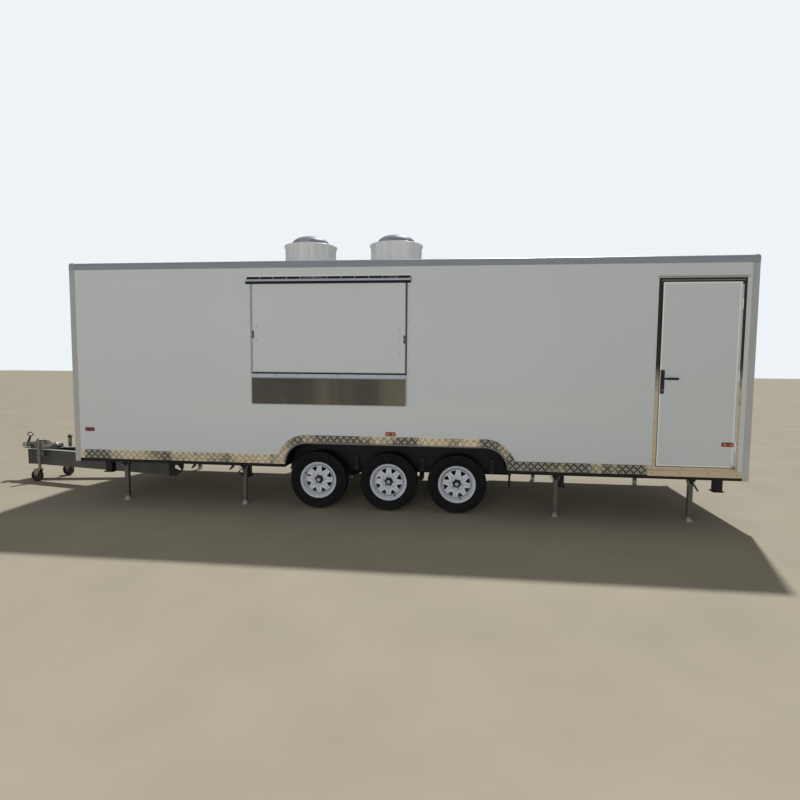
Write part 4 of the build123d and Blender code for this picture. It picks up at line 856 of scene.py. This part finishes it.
def build_disc(where, hole, outer):
    """Pressed wheel disc with eight windows around a six-sided hub face."""
    disc = Build()
    for turn in turns(8):
        turned_by = Matrix.Rotation(turn, 2)
        rings = []
        for share, drop in WINDOW_RINGS:
            around = [turned_by @ (a + (b - a) * share) for a, b in zip(hole, outer)]
            rings.append([(p.x, p.y, disc_height(p.length) - drop) for p in around])
        disc.skin(rings, 0, where, capped=False)
    rings = []
    for r in HUB_RADII:
        height = disc_height(r) - (0.004 if r == HUB_RADII[0] else 0)
        ring = []
        for turn in turns(DISC_STEPS):
            six_sided = cos(pi / 6) / cos(turn % (pi / 3) - pi / 6)
            reach = r * six_sided if 0.06 < r < 0.078 else r
            ring.append((*on_circle(reach, turn), height))
        rings.append(ring)
    disc.skin(rings, 0, where, capped=False)
    rim_side = [(DISC_OUTER, disc_height(DISC_OUTER)), (0.1695, 0.0215), (0.171, 0.016), (0.171, 0.004)]
    disc.lathe(rim_side, where, DISC_STEPS)
    return disc


def build_rims():
    hole, outer = window_edges()
    for side_name, side, axle in WHEELS:
        end = f"{side_name}_{axle}"
        body = "wheel_" + end
        where = wheel_place(side, axle, WHEEL_TURNS[side_name][axle - 1])
        plate = build_disc(where, hole, outer).make("rim_disc_" + end, ["wheel"], body, angle=50)
        gauge = plate.modifiers.new("gauge", "SOLIDIFY")
        gauge.thickness = DISC_GAUGE
        gauge.offset = -1

        barrel = Build()
        barrel.lathe(BARREL_PROFILE, where, DISC_STEPS, 0, closed=True)
        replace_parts(barrel.make("rim_barrel_" + end, ["wheel"], body, angle=40), "rim_" + end)

        hub = Build()
        hub.lathe(HUB_PROFILE, where, 36, 0)
        hub.lathe(GROOVE_SHADE_PROFILE, where, 64, 3, True)
        hub.lathe(CAP_PROFILE, where, 24, 1)
        for turn in turns(6):
            spot = where @ Matrix.Translation((*on_circle(NUT_CIRCLE, turn + pi / 6), NUT_HEIGHT))
            hub.lathe(NUT_PROFILE, spot, 6, 2)
            hub.lathe(STUD_PROFILE, spot, 10, 2)
        hub.make("hub_" + end, ["black", "cap", "wheel_nut", "wheel_groove_painted_shade"], body)

        valve = Build()
        where = wheel_place(side, axle, VALVE_TURNS[side_name][axle - 1])
        valve.lathe(VALVE_PROFILE, where @ Matrix.Translation(VALVE_PLACE) @ turned(VALVE_LEAN, "Y"), 12, 0)
        valve.make("valve_" + end, ["rubber"], body)


# Roof, hatch and counter
TRIM_FACE = HALF_WIDTH + 0.004
TRIM_SCREW, TRIM_SCREW_LINE, TRIM_MIDDLE = 0.0055, ROOF_TOP - 0.042, 0.036
CORNER_CAP = 0.031
ROOF_SEAM = 0.058
HATCH_LEAF = (2.225, 3.985, 1.587, 2.591)
HATCH_RAIL_FACE, HATCH_SEAL_FRONT, HATCH_SEAL_BACK = -1.1336, -1.096, -1.083
HATCH_SEAL_GAP, HATCH_SEAL_REACH = 0.006, 0.0175
HATCH_HINGE_START, HATCH_HINGE_PITCH, HATCH_HINGE_COUNT = 2.172, 0.1553, 12
COUNTER = (2.225, 3.99, 1.225, 1.525)
COUNTER_FACE, COUNTER_RAIL_FACE = -1.133, -1.1342


def band(back, face, low, high):
    """Outline of a flat band with both street edges eased."""
    return [(back, low), (face, low + 0.0012), (face, high - 0.0012), (back, high)]


def build_roof_details():
    rivets = Build()
    for side in (NEAR, FAR):
        spots = [(s, side * TRIM_FACE, TRIM_SCREW_LINE) for s in spaced(0.19, 7.41, 0.325)]
        rivets.screws(spots, (0, side, 0), TRIM_SCREW)
    for s, away in ((-0.004, -1), (BODY_LENGTH + 0.004, 1)):
        spots = [(s, y, TRIM_SCREW_LINE) for y in spaced(-0.93, 0.93, 0.325)]
        rivets.screws(spots, (away, 0, 0), TRIM_SCREW)
        for side in (NEAR, FAR):
            for z in spaced(0.62, 2.68, 0.59):
                rivets.screws([(s - away * TRIM_MIDDLE, side * TRIM_FACE, z)], (0, side, 0), TRIM_SCREW)
                rivets.screws([(s, side * (TRIM_FACE - TRIM_MIDDLE), z)], (away, 0, 0), TRIM_SCREW)
    rivets.make("trim_rivets", ["cap"])

    caps = Build()
    rise = (
        (0.0755, 0.009, -0.08), (0.0755, 0.009, -0.02), (0.07, 0.01, -0.006), (0.06, 0.012, 0.003),
        (0.044, 0.014, 0.0065),
    )
    levels = [(rectangle(width, width, radius), ROOF_TOP + z) for width, radius, z in rise]
    for s in (CORNER_CAP, BODY_LENGTH - CORNER_CAP):
        for side in (NEAR, FAR):
            caps.stack(levels, standing(s, side * (HALF_WIDTH - CORNER_CAP)))
    caps.make("roof_corner_caps", ["cast"], angle=50)

    bead = Build()
    front, rear, half = ROOF_SEAM, BODY_LENGTH - ROOF_SEAM, HALF_WIDTH - ROOF_SEAM
    corners = ((front, -half), (rear, -half), (rear, half), (front, half))
    bead.sweep([(s, y, ROOF_TOP) for s, y in corners], strip(0.01, 0.004), (0, 0, 1), True)
    bead.make("roof_sealant", ["sealant"])


def build_hatch_details():
    s0, s1, z0, z1 = HATCH_LEAF
    face = WALL_FACE - 0.005
    leaf = Build()
    leaf.sweep(frame_path(HATCH_LEAF, face, 0.004), strip(0.007, 0.001), OUT, True)
    heads = ((2.277, 2.101), (2.277, 1.945), (3.92, 2.078), (3.92, 1.947), (3.92, 1.806))
    leaf.screws([(s, face + 0.0015, z) for s, z in heads], OUT, 0.006, 1)
    catch, catch_top = rectangle(0.019, 0.088, 0.005), rectangle(0.013, 0.08, 0.004)
    for s, z in ((2.2385, 2.0155), (3.9715, 1.9625)):
        where = place((s, face, z), OUT)
        leaf.stack([(catch, 0.0005), (catch, 0.007), (catch_top, 0.011)], where, 1)
        leaf.lathe([(0, 0.01), (0.006, 0.01), (0.006, 0.016), (0.0045, 0.018), (0, 0.018)], where, 14, 2)
    leaf.make("hatch_leaf_trim", ["aluminium", "nut", "cap"], "hatch")

    rail, r0, r1 = Build(), s0 - 0.06, s1 + 0.05
    rail.box(r0, r1, -1.1324, -1.1316, 2.5912, 2.6192)
    # The lower band, the underside and the ends take the near black of painted shade; the upper band takes
    # the rail colour.
    for low, high, tag in ((2.5885, 2.6075, 1), (2.6085, 2.619, 0)):
        rail.bar(band(-1.1318, HATCH_RAIL_FACE, low, high), r0, r1, tag)
    rail.bar([(-1.1215, 2.5814), (-1.1222, 2.5802), (-1.1329, 2.5906), (-1.132, 2.5917)], r0, r1, 1)
    rail.box(r0, r1, -1.1223, -1.1046, 2.5802, 2.5814, 1)
    end = [(-1.1046, 2.5804), (-1.1223, 2.5804), (-1.1334, 2.591), (-1.1334, 2.6192), (-1.1046, 2.6192)]
    for s in (r0 - 0.0015, r1 - 0.0005):
        rail.bar(end, s, s + 0.002, 1)
    rail.make("hatch_rail_profile", ["rail", "rail_underside_painted_shade"], "hatch")

    hinge = Build()
    cover = [
        (-1.1279, 2.625), (-1.1279, 2.632), (-1.1149, 2.6434), (-1.1108, 2.6605),
        (-1.1092, 2.6605), (-1.1135, 2.6426), (-1.1262, 2.631), (-1.1262, 2.625),
    ]
    flange = [
        (-1.1106, 2.6612), (-1.1079, 2.6729), (-1.1, 2.6729),
        (-1.1, 2.67), (-1.1065, 2.67), (-1.1088, 2.6612),
    ]
    for k in range(HATCH_HINGE_COUNT):
        start = HATCH_HINGE_START + HATCH_HINGE_PITCH * k
        end = start + HATCH_HINGE_PITCH
        hinge.bar(cover, start + 0.0035, end - 0.0035)
        hinge.bar(flange, start + 0.001, end - 0.001, 2)
        heads = [(start + HATCH_HINGE_PITCH * share, -1.1125, 2.653) for share in (0.25, 0.75)]
        hinge.screws(heads, (0, -1, 0.24), 0.0045, 1)
    hinge.make("hinge_covers", ["hinge", "nut", "edge_white"], angle=25)

    seal, front, back = Build(), HATCH_SEAL_FRONT, HATCH_SEAL_BACK
    for edge, away, tag in ((s0, -1, 0), (s1, 1, 1)):
        a, b = edge + away * HATCH_SEAL_GAP, edge + away * HATCH_SEAL_REACH
        middle = (a + b) / 2
        seal.box(a, b, front, back, z0 - 0.012, z1 - 0.004, tag)
        seal.box(middle - 0.0015, middle + 0.0015, front - 0.0025, front + 0.001, z0 - 0.01, z1 - 0.006, 2)
    low, high = z0 - HATCH_SEAL_REACH, z0 - 0.0065
    seal.box(s0 - HATCH_SEAL_REACH, s1 + HATCH_SEAL_REACH, front, back, low, high, 1)
    seal.make("hatch_seal", ["sealant", "rubber", "cap"], bevel=0.001)

    screws = Build()
    for s in (s0 - 0.029, s1 + 0.029):
        screws.screws([(s, FRAME_FACE, z) for z in spaced(1.62, 2.54, 0.2)], OUT, 0.0045)
    screws.make("hatch_frame_screws", ["nut"])


def build_counter_details():
    s0, s1, z0, z1 = COUNTER
    rail = Build()
    for low, high in ((1.5335, 1.549), (1.5535, 1.5695)):
        rail.bar(band(-1.1327, COUNTER_RAIL_FACE, low, high), s0, s1)
    heads = [(s, COUNTER_RAIL_FACE, 1.5615) for s in spaced(s0 + 0.06, s1 - 0.06, 0.24)]
    rail.screws(heads, OUT, 0.005, 1)
    rail.make("counter_rail_profile", ["rail", "nut"])

    fold = Build()
    corners = [(s, z) for s, y, z in frame_path(COUNTER, COUNTER_FACE, 0.0045)]
    path = [(p.x, COUNTER_FACE, p.y) for p in rounded(corners, 0.01, 6)]
    fold.sweep(path, strip(0.006, 0.0012), OUT, True)
    for s in spaced(s0 + 0.05, s1 - 0.05, 0.56):
        fold.box(s - 0.012, s + 0.012, -1.1125, -1.105, z0 + 0.004, z1 - 0.012, 1)
    fold.make("counter_folds", ["counter_edge", "aluminium"], "counter")


# Door and lamps
DOOR_FRAME = (6.63, 7.49, 0.593, 2.61)
DOOR_OPENING = (6.668, 7.452, 0.631, 2.572)
DOOR_LEAF = (6.674, 7.4385, 0.637, 2.566)
DOOR_LOCK, DOOR_HINGE, DOOR_HINGE_PLATE = 6.7, 7.452, 7.4735
DOOR_HINGE_HEIGHTS = (0.86, 1.6, 2.34)
DOOR_SKIN, DOOR_EDGE_SEAL, HINGE_PLATE_FACE, PLATE_BACK = -1.1128, -1.1022, -1.1055, -1.1028
DOOR_STRIP = (6.59, 7.53)
LAMP_SIZE, HIGH_LAMP_SIZE, LENS_FACE = (0.113, 0.041), (0.09, 0.036), 0.0136
REAR_LAMP_Y = 0.95
# Name, body, colour, distance from the front, side, how far its seat stands proud, height
MARKERS = (
    ("marker_red_near", "trailer", "red", 0.1925, NEAR, 0, 0.883),
    ("marker_red_far", "trailer", "red", 0.1925, FAR, 0, 0.883),
    ("marker_amber_near", "trailer", "amber", 3.823, NEAR, 0, 0.9065),
    ("marker_amber_far", "trailer", "amber", 3.823, FAR, 0, 0.9065),
    ("marker_door", "door", "amber", 7.3775, NEAR, 0.003, 0.881),
    ("marker_rear_far", "trailer", "amber", 7.3775, FAR, 0, 0.881),
)


def build_door_frame():
    trim = Build()
    trim.sweep(frame_path(DOOR_OPENING, FRAME_FACE, -0.0045), strip(0.007, 0.0024), OUT, True)
    trim.sweep(frame_path(DOOR_FRAME, FRAME_FACE, 0.004), strip(0.006, 0.0018), OUT, True)
    trim.bar([(PLATE_BACK, 0.588), (-1.1075, 0.5885), (-1.1085, 0.5945), (PLATE_BACK, 0.597)], *DOOR_STRIP)
    trim.bar([(PLATE_BACK, 0.527), (-1.105, 0.528), (-1.105, 0.536), (PLATE_BACK, 0.537)], *DOOR_STRIP)
    heads = [(s, FRAME_FACE, z) for s in (6.6465, DOOR_HINGE_PLATE) for z in spaced(0.7, 2.5, 0.2)]
    heads += [(s, FRAME_FACE, z) for s in spaced(6.7, 7.42, 0.235) for z in (0.611, 2.592)]
    trim.screws(heads, OUT, 0.005, 1)
    trim.screws([(s, FRAME_FACE, 0.562) for s in spaced(*DOOR_FRAME[:2], 0.3)], OUT, 0.0055, 1)
    trim.box(6.5865, 6.629, -1.1045, -1.099, 0.5975, 0.64)
    trim.box(6.653, 7.467, -1.1043, -1.1018, 2.5755, 2.59, 2)
    trim.make("door_frame_trim", ["stainless", "nut", "arch_lip"])

    drip = Build()
    section = [
        (-1.0997, 2.6165), (-1.0997, 2.63), (-1.115, 2.6262),
        (-1.1215, 2.6165), (-1.1195, 2.616), (-1.1138, 2.6232),
    ]
    drip.bar(section, 6.615, 7.505)
    drip.make("door_drip_strip", ["beige"], angle=20)


def build_door_leaf():
    leaf = Build()
    leaf.sweep(frame_path(DOOR_LEAF, FRAME_FACE, 0.0075), strip(0.013, 0.0016), OUT, True)
    edge = ((7.438, 0.6357), (6.6726, 0.6357), (6.6726, 2.5673), (7.438, 2.5673))
    leaf.sweep([(s, DOOR_EDGE_SEAL, z) for s, z in edge], strip(0.003, 0.0016), OUT, False, 1)
    loose_end = (
        (7.425, -1.104, 0.668), (7.431, -1.1075, 0.652), (7.436, -1.1115, 0.64),
        (7.442, -1.1135, 0.632), (7.448, -1.113, 0.626), (7.451, -1.1112, 0.617),
    )
    leaf.tube(loose_end, 0.0028, 8, 1)
    lock = place((DOOR_LOCK, DOOR_SKIN, 1.441), OUT)
    leaf.lathe([(0, 0), (0.0092, 0), (0.0092, 0.003), (0.008, 0.0042), (0, 0.0042)], lock, 20, 2)
    leaf.box(-0.0007, 0.0007, -0.004, 0.004, 0.004, 0.0046, 1, lock)
    leaf.screws([(DOOR_LOCK, DOOR_SKIN, z) for z in (1.419, 1.641)], OUT, 0.004, 3)
    for z in DOOR_HINGE_HEIGHTS:
        leaf.lathe(pin(0.0075, -0.05, 0.05), standing(DOOR_HINGE, -1.109, z), 16, 0)
    grip = [
        (-1.1515, 1.5525), (-1.1485, 1.5565), (-1.1485, 1.5735), (-1.1515, 1.5775),
        (-1.1655, 1.5775), (-1.169, 1.5735), (-1.169, 1.5565), (-1.1655, 1.5525),
    ]
    leaf.bar(grip, 6.738, 6.8415, 4)
    leaf.make("door_leaf_trim", ["edge_white", "rubber", "brass", "nut", "black"], "door")

    plates = Build()
    for z in DOOR_HINGE_HEIGHTS:
        plates.box(7.459, 7.4865, HINGE_PLATE_FACE, PLATE_BACK, z - 0.048, z + 0.048)
        heads = [(DOOR_HINGE_PLATE, HINGE_PLATE_FACE, z + rise) for rise in (-0.032, 0.032)]
        plates.screws(heads, OUT, 0.0048, 1)
    plates.make("door_hinge_plates", ["stainless", "nut"], bevel=0.0008)


def build_marker(body, name, colour, spot, normal, size):
    """Gasket, ribs and two round bulb windows on a small lamp."""
    width, height = size
    where = place(spot, normal)
    dress = Build()
    rim = rectangle(width + 0.0045, height + 0.0045, 0.01)
    rim_top = rectangle(width + 0.001, height + 0.001, 0.009)
    dress.stack([(rim, -0.0004), (rim, 0.0028), (rim_top, 0.004)], where)
    for x in (-0.3 * width, 0.3 * width):
        bulb = [(0, LENS_FACE), (0.015, LENS_FACE), (0.0144, 0.0152), (0.008, 0.0164), (0, 0.0168)]
        dress.lathe(bulb, where @ Matrix.Translation((x, 0, 0)), 20, 1)
    for k in range(-3, 4):
        x = k * width * 0.05
        rib = (x - 0.0009, x + 0.0009, -height * 0.27, height * 0.27, LENS_FACE, LENS_FACE + 0.001)
        dress.box(*rib, 2, where)
    dress.make(name, ["rubber", colour + "_bulb", colour], body)


def build_tail_lamp(name, side):
    """Tall rear lamp of three square modules with two raised rings each."""
    tail = Build()
    where = place((BODY_LENGTH, side * REAR_LAMP_Y, 0.815), (1, 0, 0))
    rim, rim_top = rectangle(0.0945, 0.2445, 0.016), rectangle(0.091, 0.241, 0.015)
    tail.stack([(rim, -0.0004), (rim, 0.006), (rim_top, 0.0075)], where)
    low, high = rectangle(0.0785, 0.0685, 0.012), rectangle(0.069, 0.059, 0.008)
    top = rectangle(0.062, 0.052, 0.006)
    for row, tag in ((-1, 1), (0, 1), (1, 2)):
        module = where @ Matrix.Translation((0, row * 0.08, 0))
        tail.stack([(low, 0.0115), (low, 0.0135), (high, 0.0282), (top, 0.029)], module, tag)
        for r in (0.009, 0.018):
            tail.lathe(collar(r, r + 0.0025, 0.0285, 0.0302), module, 24, tag, True)
    tail.make(name, ["rubber", "red", "amber"])


def build_lamp_details():
    for name, body, colour, s, side, proud, z in MARKERS:
        spot = (s, side * (HALF_WIDTH + proud), z)
        build_marker(body, name, colour, spot, (0, side, 0), LAMP_SIZE)
    for side_name, side in SIDES:
        spot = (BODY_LENGTH, side * REAR_LAMP_Y, ROOF_TOP - 0.22)
        build_marker("trailer", "high_lamp_" + side_name, "red", spot, (1, 0, 0), HIGH_LAMP_SIZE)
        build_tail_lamp("tail_lamp_" + side_name, side)


# Roof vents
VENTS, VENT_Y = ((1, 2.69), (2, 3.776)), -0.3
DRUM_RADIUS, DRUM_FACE = 0.3145, 0.3162
VENT_LAP, VENT_STEPS = 35, 72
VENT_CROWN = [
    (0.24, 0.309), (0.24, 0.313), (0.2368, 0.315), (0.2368, 0.329), (0.233, 0.345), (0.224, 0.366),
    (0.207, 0.386), (0.185, 0.401), (0.162, 0.4125), (0.137, 0.4215), (0.11, 0.4285), (0.08, 0.4335),
    (0.05, 0.4368), (0.048, 0.4392), (0.02, 0.4402), (0, 0.4405),
]


def build_vent_details():
    for number, s in VENTS:
        base = standing(s, VENT_Y, ROOF_TOP)
        vent = Build()

        def around(radius, turn, rise):
            ahead, across = on_circle(radius, turn)
            return (s + ahead, VENT_Y + across, ROOF_TOP + rise)

        sealant = [(0.343, -0.0005), (0.353, -0.0005), (0.351, 0.003), (0.343, 0.0046)]
        vent.lathe(sealant, base, VENT_STEPS, 1, True)
        foot = [(DRUM_RADIUS, 0.002), (0.3195, 0.002), (0.319, 0.014), (DRUM_RADIUS, 0.016)]
        vent.lathe(foot, base, VENT_STEPS, 2, True)
        roll = [(0.3262 + 0.0042 * cos(turn), 0.3035 + 0.008 * sin(turn)) for turn in turns(8)]
        vent.lathe(roll, base, VENT_STEPS, 0, True)
        for z in (0.06, 0.24):
            bead = [(DRUM_RADIUS, z), (0.3166, z + 0.002), (0.3166, z + 0.006), (DRUM_RADIUS, z + 0.008)]
            vent.lathe(bead, base, VENT_STEPS, 0, True)
        vent.lathe(VENT_CROWN, base, VENT_STEPS, 4)
        vent.screws([around(0.331, turn + pi / 12, 0.003) for turn in turns(12)], (0, 0, 1), 0.0055, 3)
        for turn in turns(6):
            turn += 0.24 - pi / 2
            vent.screws([around(0.3148, turn, 0.19)], (*on_circle(1, turn), 0), 0.006, 5)
        lap = base @ turned(VENT_LAP, "Z")
        vent.box(0.314, 0.3163, -0.016, 0.016, 0.017, 0.288, 0, lap)
        rivets = [around(DRUM_FACE, radians(VENT_LAP), z) for z in spaced(0.04, 0.265, 0.045)]
        vent.screws(rivets, (*on_circle(1, radians(VENT_LAP)), 0), 0.0035)
        materials = ["vent", "sealant", "edge_white", "nut", "dome", "cap"]
        vent.make(f"vent_dress_{number}", materials, angle=40)


# Legs and stabiliser posts
LEGS, LEG_Y = (0.535, 2.045, 5.67, 7.105), 0.915
LEG_HALF = 0.0385
LEG_PIVOT, LEG_PLATE = 0.442, 0.482
POSTS, POST_Y, POST_PLATE = (0.248, 2.033, 5.733, 7.425), 0.82, 0.325
# Both ends of the long grips that two near legs have, from the pivot
LONG_GRIPS = {2.045: ((-0.058, -0.04), (-0.004, -0.09)), 7.105: ((0.016, -0.024), (0.06, -0.094))}
SHORT_LEVER = ((0, 0.004, 0), (0, 0.012, 0), (-0.01, 0.017, 0.003), (-0.06, 0.018, 0.012))
LEG_SPRING = (
    (-0.04, 0, 0.036), (-0.055, 0.002, 0.026), (-0.06, 0.003, 0.006),
    (-0.052, 0.002, -0.014), (-0.036, 0, -0.026), (-0.026, -0.003, -0.03),
)


def add_leg_fittings(fittings, s, side):
    """Pivot bolts, lever, gusset edges, spring and mounting bolts of one leg."""
    for away in (-1, 1):
        fittings.bolt((s, side * LEG_Y + away * LEG_HALF, LEG_PIVOT), (0, away, 0), 0.021, 0.008, 1)
        for x in (-0.045, 0.045):
            fittings.bolt((s + x, side * LEG_Y + away * 0.015, LEG_PLATE), (0, 0, -1), 0.013, 0.007, 1)

    def wire(offsets, radius, tag, sides=8):
        path = [(s + x, side * (LEG_Y + LEG_HALF + y), LEG_PIVOT + z) for x, y, z in offsets]
        fittings.tube(path, radius, sides, tag)

    if side == NEAR and s in LONG_GRIPS:
        (x0, z0), (x1, z1) = LONG_GRIPS[s]
        wire(((0, 0, 0), (0, 0.014, 0), (x0, 0.016, z0)), 0.005, 0)
        wire(((x0, 0.016, z0), (x1, 0.016, z1)), 0.0095, 0, 12)
    else:
        wire(SHORT_LEVER, 0.0048, 0)
    for away in (-1, 1):
        wire(((away * 0.05, 0.0015, 0.039), (away * 0.024, 0.0015, -0.018)), 0.0032, 4)
    wire(LEG_SPRING, 0.0028, 2)


def build_leg_details():
    for side_name, side in SIDES:
        fittings = Build()
        for s in LEGS:
            add_leg_fittings(fittings, s, side)
        for s in POSTS:
            for x, y in square(0.05):
                fittings.bolt((s + x, side * POST_Y + y, POST_PLATE), (0, 0, 1), 0.009, 0.006, 1)
            weld = [(s + x, side * POST_Y + y, POST_PLATE + 0.0012) for x, y in square(0.044)]
            fittings.tube(weld, 0.0026, 8, 3, True)
        fittings.make("leg_fittings_" + side_name, ["black", "nut", "chrome", "chassis", "cast"])
        for number, s in enumerate(LEGS, 1):
            foot = Build()
            weld = [(s + x, side * LEG_Y + y, 0.0075) for x, y in square(0.0255)]
            foot.tube(weld, 0.0028, 8, 0, True)
            for x in (-0.033, 0.033):
                foot.bolt((s + x, side * LEG_Y, 0.006), (0, 0, 1), 0.008, 0.004, 1)
            for away in (-1, 1):
                boss = place((s, side * LEG_Y + away * 0.025, LEG_PIVOT), (0, away, 0))
                foot.lathe(pin(0.013, -0.0006, 0.001), boss, 20, 0)
            foot.make(f"leg_foot_{side_name}_{number}", ["leg", "nut"], f"leg_{side_name}_{number}")


# Drawbar and jockey wheels
BEAM_START, BEAM_RUN, BEAM_START_Y, BEAM_SPREAD = -1.39, 2.32, 0.075, 0.44
BEAM_HALF, BEAM_OUT = 0.0305, (-0.186, 0.983)
COUPLING_LINE, COUPLING_HALF = 0.478, 0.037
JOCKEYS = ((1, -1.262, -0.2, "zinc"), (2, -1.125, 0.225, "black"))
JOCKEY_AXLE_Z, JOCKEY_TRAIL = 0.08, 0.042
JOCKEY_CAP = [
    (0, 0.6075), (0.0098, 0.6075), (0.0098, 0.6), (0.029, 0.5915),
    (0.0318, 0.587), (0.0318, 0.566), (0.0298, 0.566),
]


def build_drawbar_details():
    bar = Build()
    for s in (-1.43, -1.28, -1.14):
        bar.bolt((s, COUPLING_HALF, COUPLING_LINE), (0, 1, 0), 0.017, 0.01, 1)
    for s in (-1.44, -1.375):
        bar.bolt((s, -COUPLING_HALF, COUPLING_LINE), OUT, 0.017, 0.01, 1)
    grip = ((-1.296, 0.5435), (-1.31, 0.544), (-1.352, 0.546), (-1.358, 0.546))
    bar.tube([(s, -0.041, z) for s, z in grip], 0.0105, 14, 0)
    lever = [(-1.6262, 0.492), (-1.5955, 0.492), (-1.553, 0.603), (-1.576, 0.603)]
    bar.prism(lever, 0.017, beside(0.0085))
    ring = [(0.029, 0), (0.0345, 0.002), (0.0345, 0.014), (0.0325, 0.016), (0.029, 0.018)]
    bar.lathe(ring, standing(-1.596, 0, 0.487) @ turned(90, "Y"), 28, 0, True)
    nipple = [(0, 0.038), (0.0042, 0.038), (0.0042, 0.05), (0.0028, 0.053), (0, 0.053)]
    bar.lathe(nipple, standing(-1.46, 0.012, 0.487), 10, 1)
    for away in (-1, 1):
        for s, z in ((0.8, 0.39), (0.88, 0.39), (0.05, 0.4), (0.12, 0.4)):
            middle = BEAM_START_Y + (s - BEAM_START) / BEAM_RUN * BEAM_SPREAD
            normal = (BEAM_OUT[0], away * BEAM_OUT[1], 0)
            bar.bolt((s, away * (middle + BEAM_HALF), z), normal, 0.019, 0.011, 1)
        weld = ((0.106, 0.224), (0.1062, 0.3), (0.106, 0.37), (0.1062, 0.434))
        bar.tube([(-1.3895, away * y, z) for y, z in weld], 0.0035, 8, 2)
    bar.make("drawbar_fittings", ["black", "nut", "beam"])


def build_jockey_details():
    for number, s, y, cap_material in JOCKEYS:
        side = 1 if y > 0 else -1
        stem, axle = standing(s, y), s - JOCKEY_TRAIL
        tube = Build()
        tube.lathe(JOCKEY_CAP, stem, 24, 0)
        tube.bolt((s, y + side * 0.0335, 0.375), (0, side, 0), 0.015, 0.008, 1)
        for z in (0.3395, 0.4105):
            bead = [(0.0245, z - 0.005), (0.03, z - 0.004), (0.03, z + 0.004), (0.0245, z + 0.005)]
            tube.lathe(bead, stem, 24, 2, True)
        tube.make(f"jockey_cap_{number}", [cap_material, "nut", "zinc"])

        fork = Build()
        for away in (-1, 1):
            fork.bolt((axle, y + away * 0.0405, JOCKEY_AXLE_Z), (0, away, 0), 0.019, 0.009, 0)
        fork.lathe([(0.0195, 0.172), (0.0225, 0.172), (0.0215, 0.178), (0.0195, 0.18)], stem, 24, 1, True)
        fork.make(f"jockey_fork_{number}", ["nut", "zinc"], f"jockey_castor_{number}")

        hub = Build()
        disc = [(0.0155, 0.0075), (0.049, 0.0075), (0.0488, 0.0115), (0.032, 0.0125), (0.0165, 0.0165)]
        rib = [(0.0575, 0.0245), (0.0735, 0.0245), (0.0725, 0.0258), (0.0585, 0.0258)]
        for away in (-1, 1):
            where = place((axle, y, JOCKEY_AXLE_Z), (0, away, 0))
            hub.lathe(disc, where, 40, 0, True)
            hub.lathe(rib, where, 48, 1, True)
        hub.make(f"jockey_hub_{number}", ["nut", "jockey_tyre"], f"jockey_wheel_{number}")


# Underbody
AXLE_HANGERS = (3.3765, 4.164, 4.975)
UNDER_FLOOR, BRACKET_FACE = 0.4915, -0.5135
RAIL_INNER, RAIL_OUTER, HANGER_FACE = 0.699, 0.752, 0.796
LOWER_GUSSET = [
    (0.868, UNDER_FLOOR), (0.868, 0.2225), (0.965, 0.2225), (1.045, 0.286), (1.066, 0.335), (1.035, 0.305),
    (1.013, 0.296), (0.95, 0.322), (0.945, 0.36), (0.945, UNDER_FLOOR),
]
UPPER_GUSSET = [
    (0.945, UNDER_FLOOR), (0.945, 0.36), (0.985, 0.365),
    (1.035, 0.305), (1.066, 0.335), (1.075, UNDER_FLOOR),
]
GUSSET_GAUGE = 0.008


def build_underbody_details():
    under = Build()
    rail = [
        (RAIL_INNER, 0.413), (RAIL_OUTER, 0.413), (RAIL_OUTER, 0.421), (0.707, 0.421),
        (0.707, 0.484), (RAIL_OUTER, 0.484), (RAIL_OUTER, UNDER_FLOOR), (RAIL_INNER, UNDER_FLOOR),
    ]
    for side in (NEAR, FAR):
        back = side * (RAIL_OUTER - 0.0005)
        for s in AXLE_HANGERS:
            under.box(s - 0.031, s + 0.031, back, side * HANGER_FACE, 0.428, 0.606)
            under.box(s - 0.045, s + 0.045, back, side * 0.768, 0.44, 0.47)
            for z in (0.455, 0.575):
                under.bolt((s, side * HANGER_FACE, z), (0, side, 0), 0.019, 0.01, 1)
        under.bar([(side * y, z) for y, z in rail], 2.545, 5.175)
        for y in (0.865, 0.925, 0.985):
            under.bolt((5.151, side * y, 0.475), (-1, 0, 0), 0.013, 0.007, 1)
        for outline in (LOWER_GUSSET, UPPER_GUSSET):
            under.prism(outline, GUSSET_GAUGE, beside(side * 0.5475 + (GUSSET_GAUGE if side > 0 else 0)))
    for s in (1.406, 1.514, 1.706, 1.938):
        under.box(s - 0.009, s + 0.009, BRACKET_FACE, -0.5095, 0.428, UNDER_FLOOR)
        under.box(s - 0.009, s + 0.009, BRACKET_FACE, -0.4925, 0.428, 0.432)
        under.bolt((s, BRACKET_FACE, 0.47), OUT, 0.008, 0.004, 1)
    for s in (1.175, 1.69):
        hook = [
            (s - 0.036, 0.32), (s - 0.012, 0.318), (s + 0.034, 0.352), (s + 0.034, UNDER_FLOOR),
            (s, UNDER_FLOOR), (s, 0.362),
        ]
        under.prism(hook, 0.01, beside(-0.5))
    lug = [
        (-0.035, 0.001), (0.035, 0.001), (0.035, -0.032), (0.022, -0.056), (0, -0.066), (-0.022, -0.056),
        (-0.035, -0.032),
    ]
    under.prism(lug, 0.012, place((1.236, -0.495, 0.49), OUT))
    under.bolt((1.236, -0.507, 0.452), OUT, 0.017, 0.009, 1)
    under.make("underbody_fittings", ["chassis", "nut"], bevel=0.0015)


build_materials()
dress_nodes()
build_camera()
build_stage()
build_tread_plate()
build_tyres()
build_rims()
build_roof_details()
build_hatch_details()
build_counter_details()
build_door_frame()
build_door_leaf()
build_lamp_details()
build_vent_details()
build_leg_details()
build_drawbar_details()
build_jockey_details()
build_underbody_details()
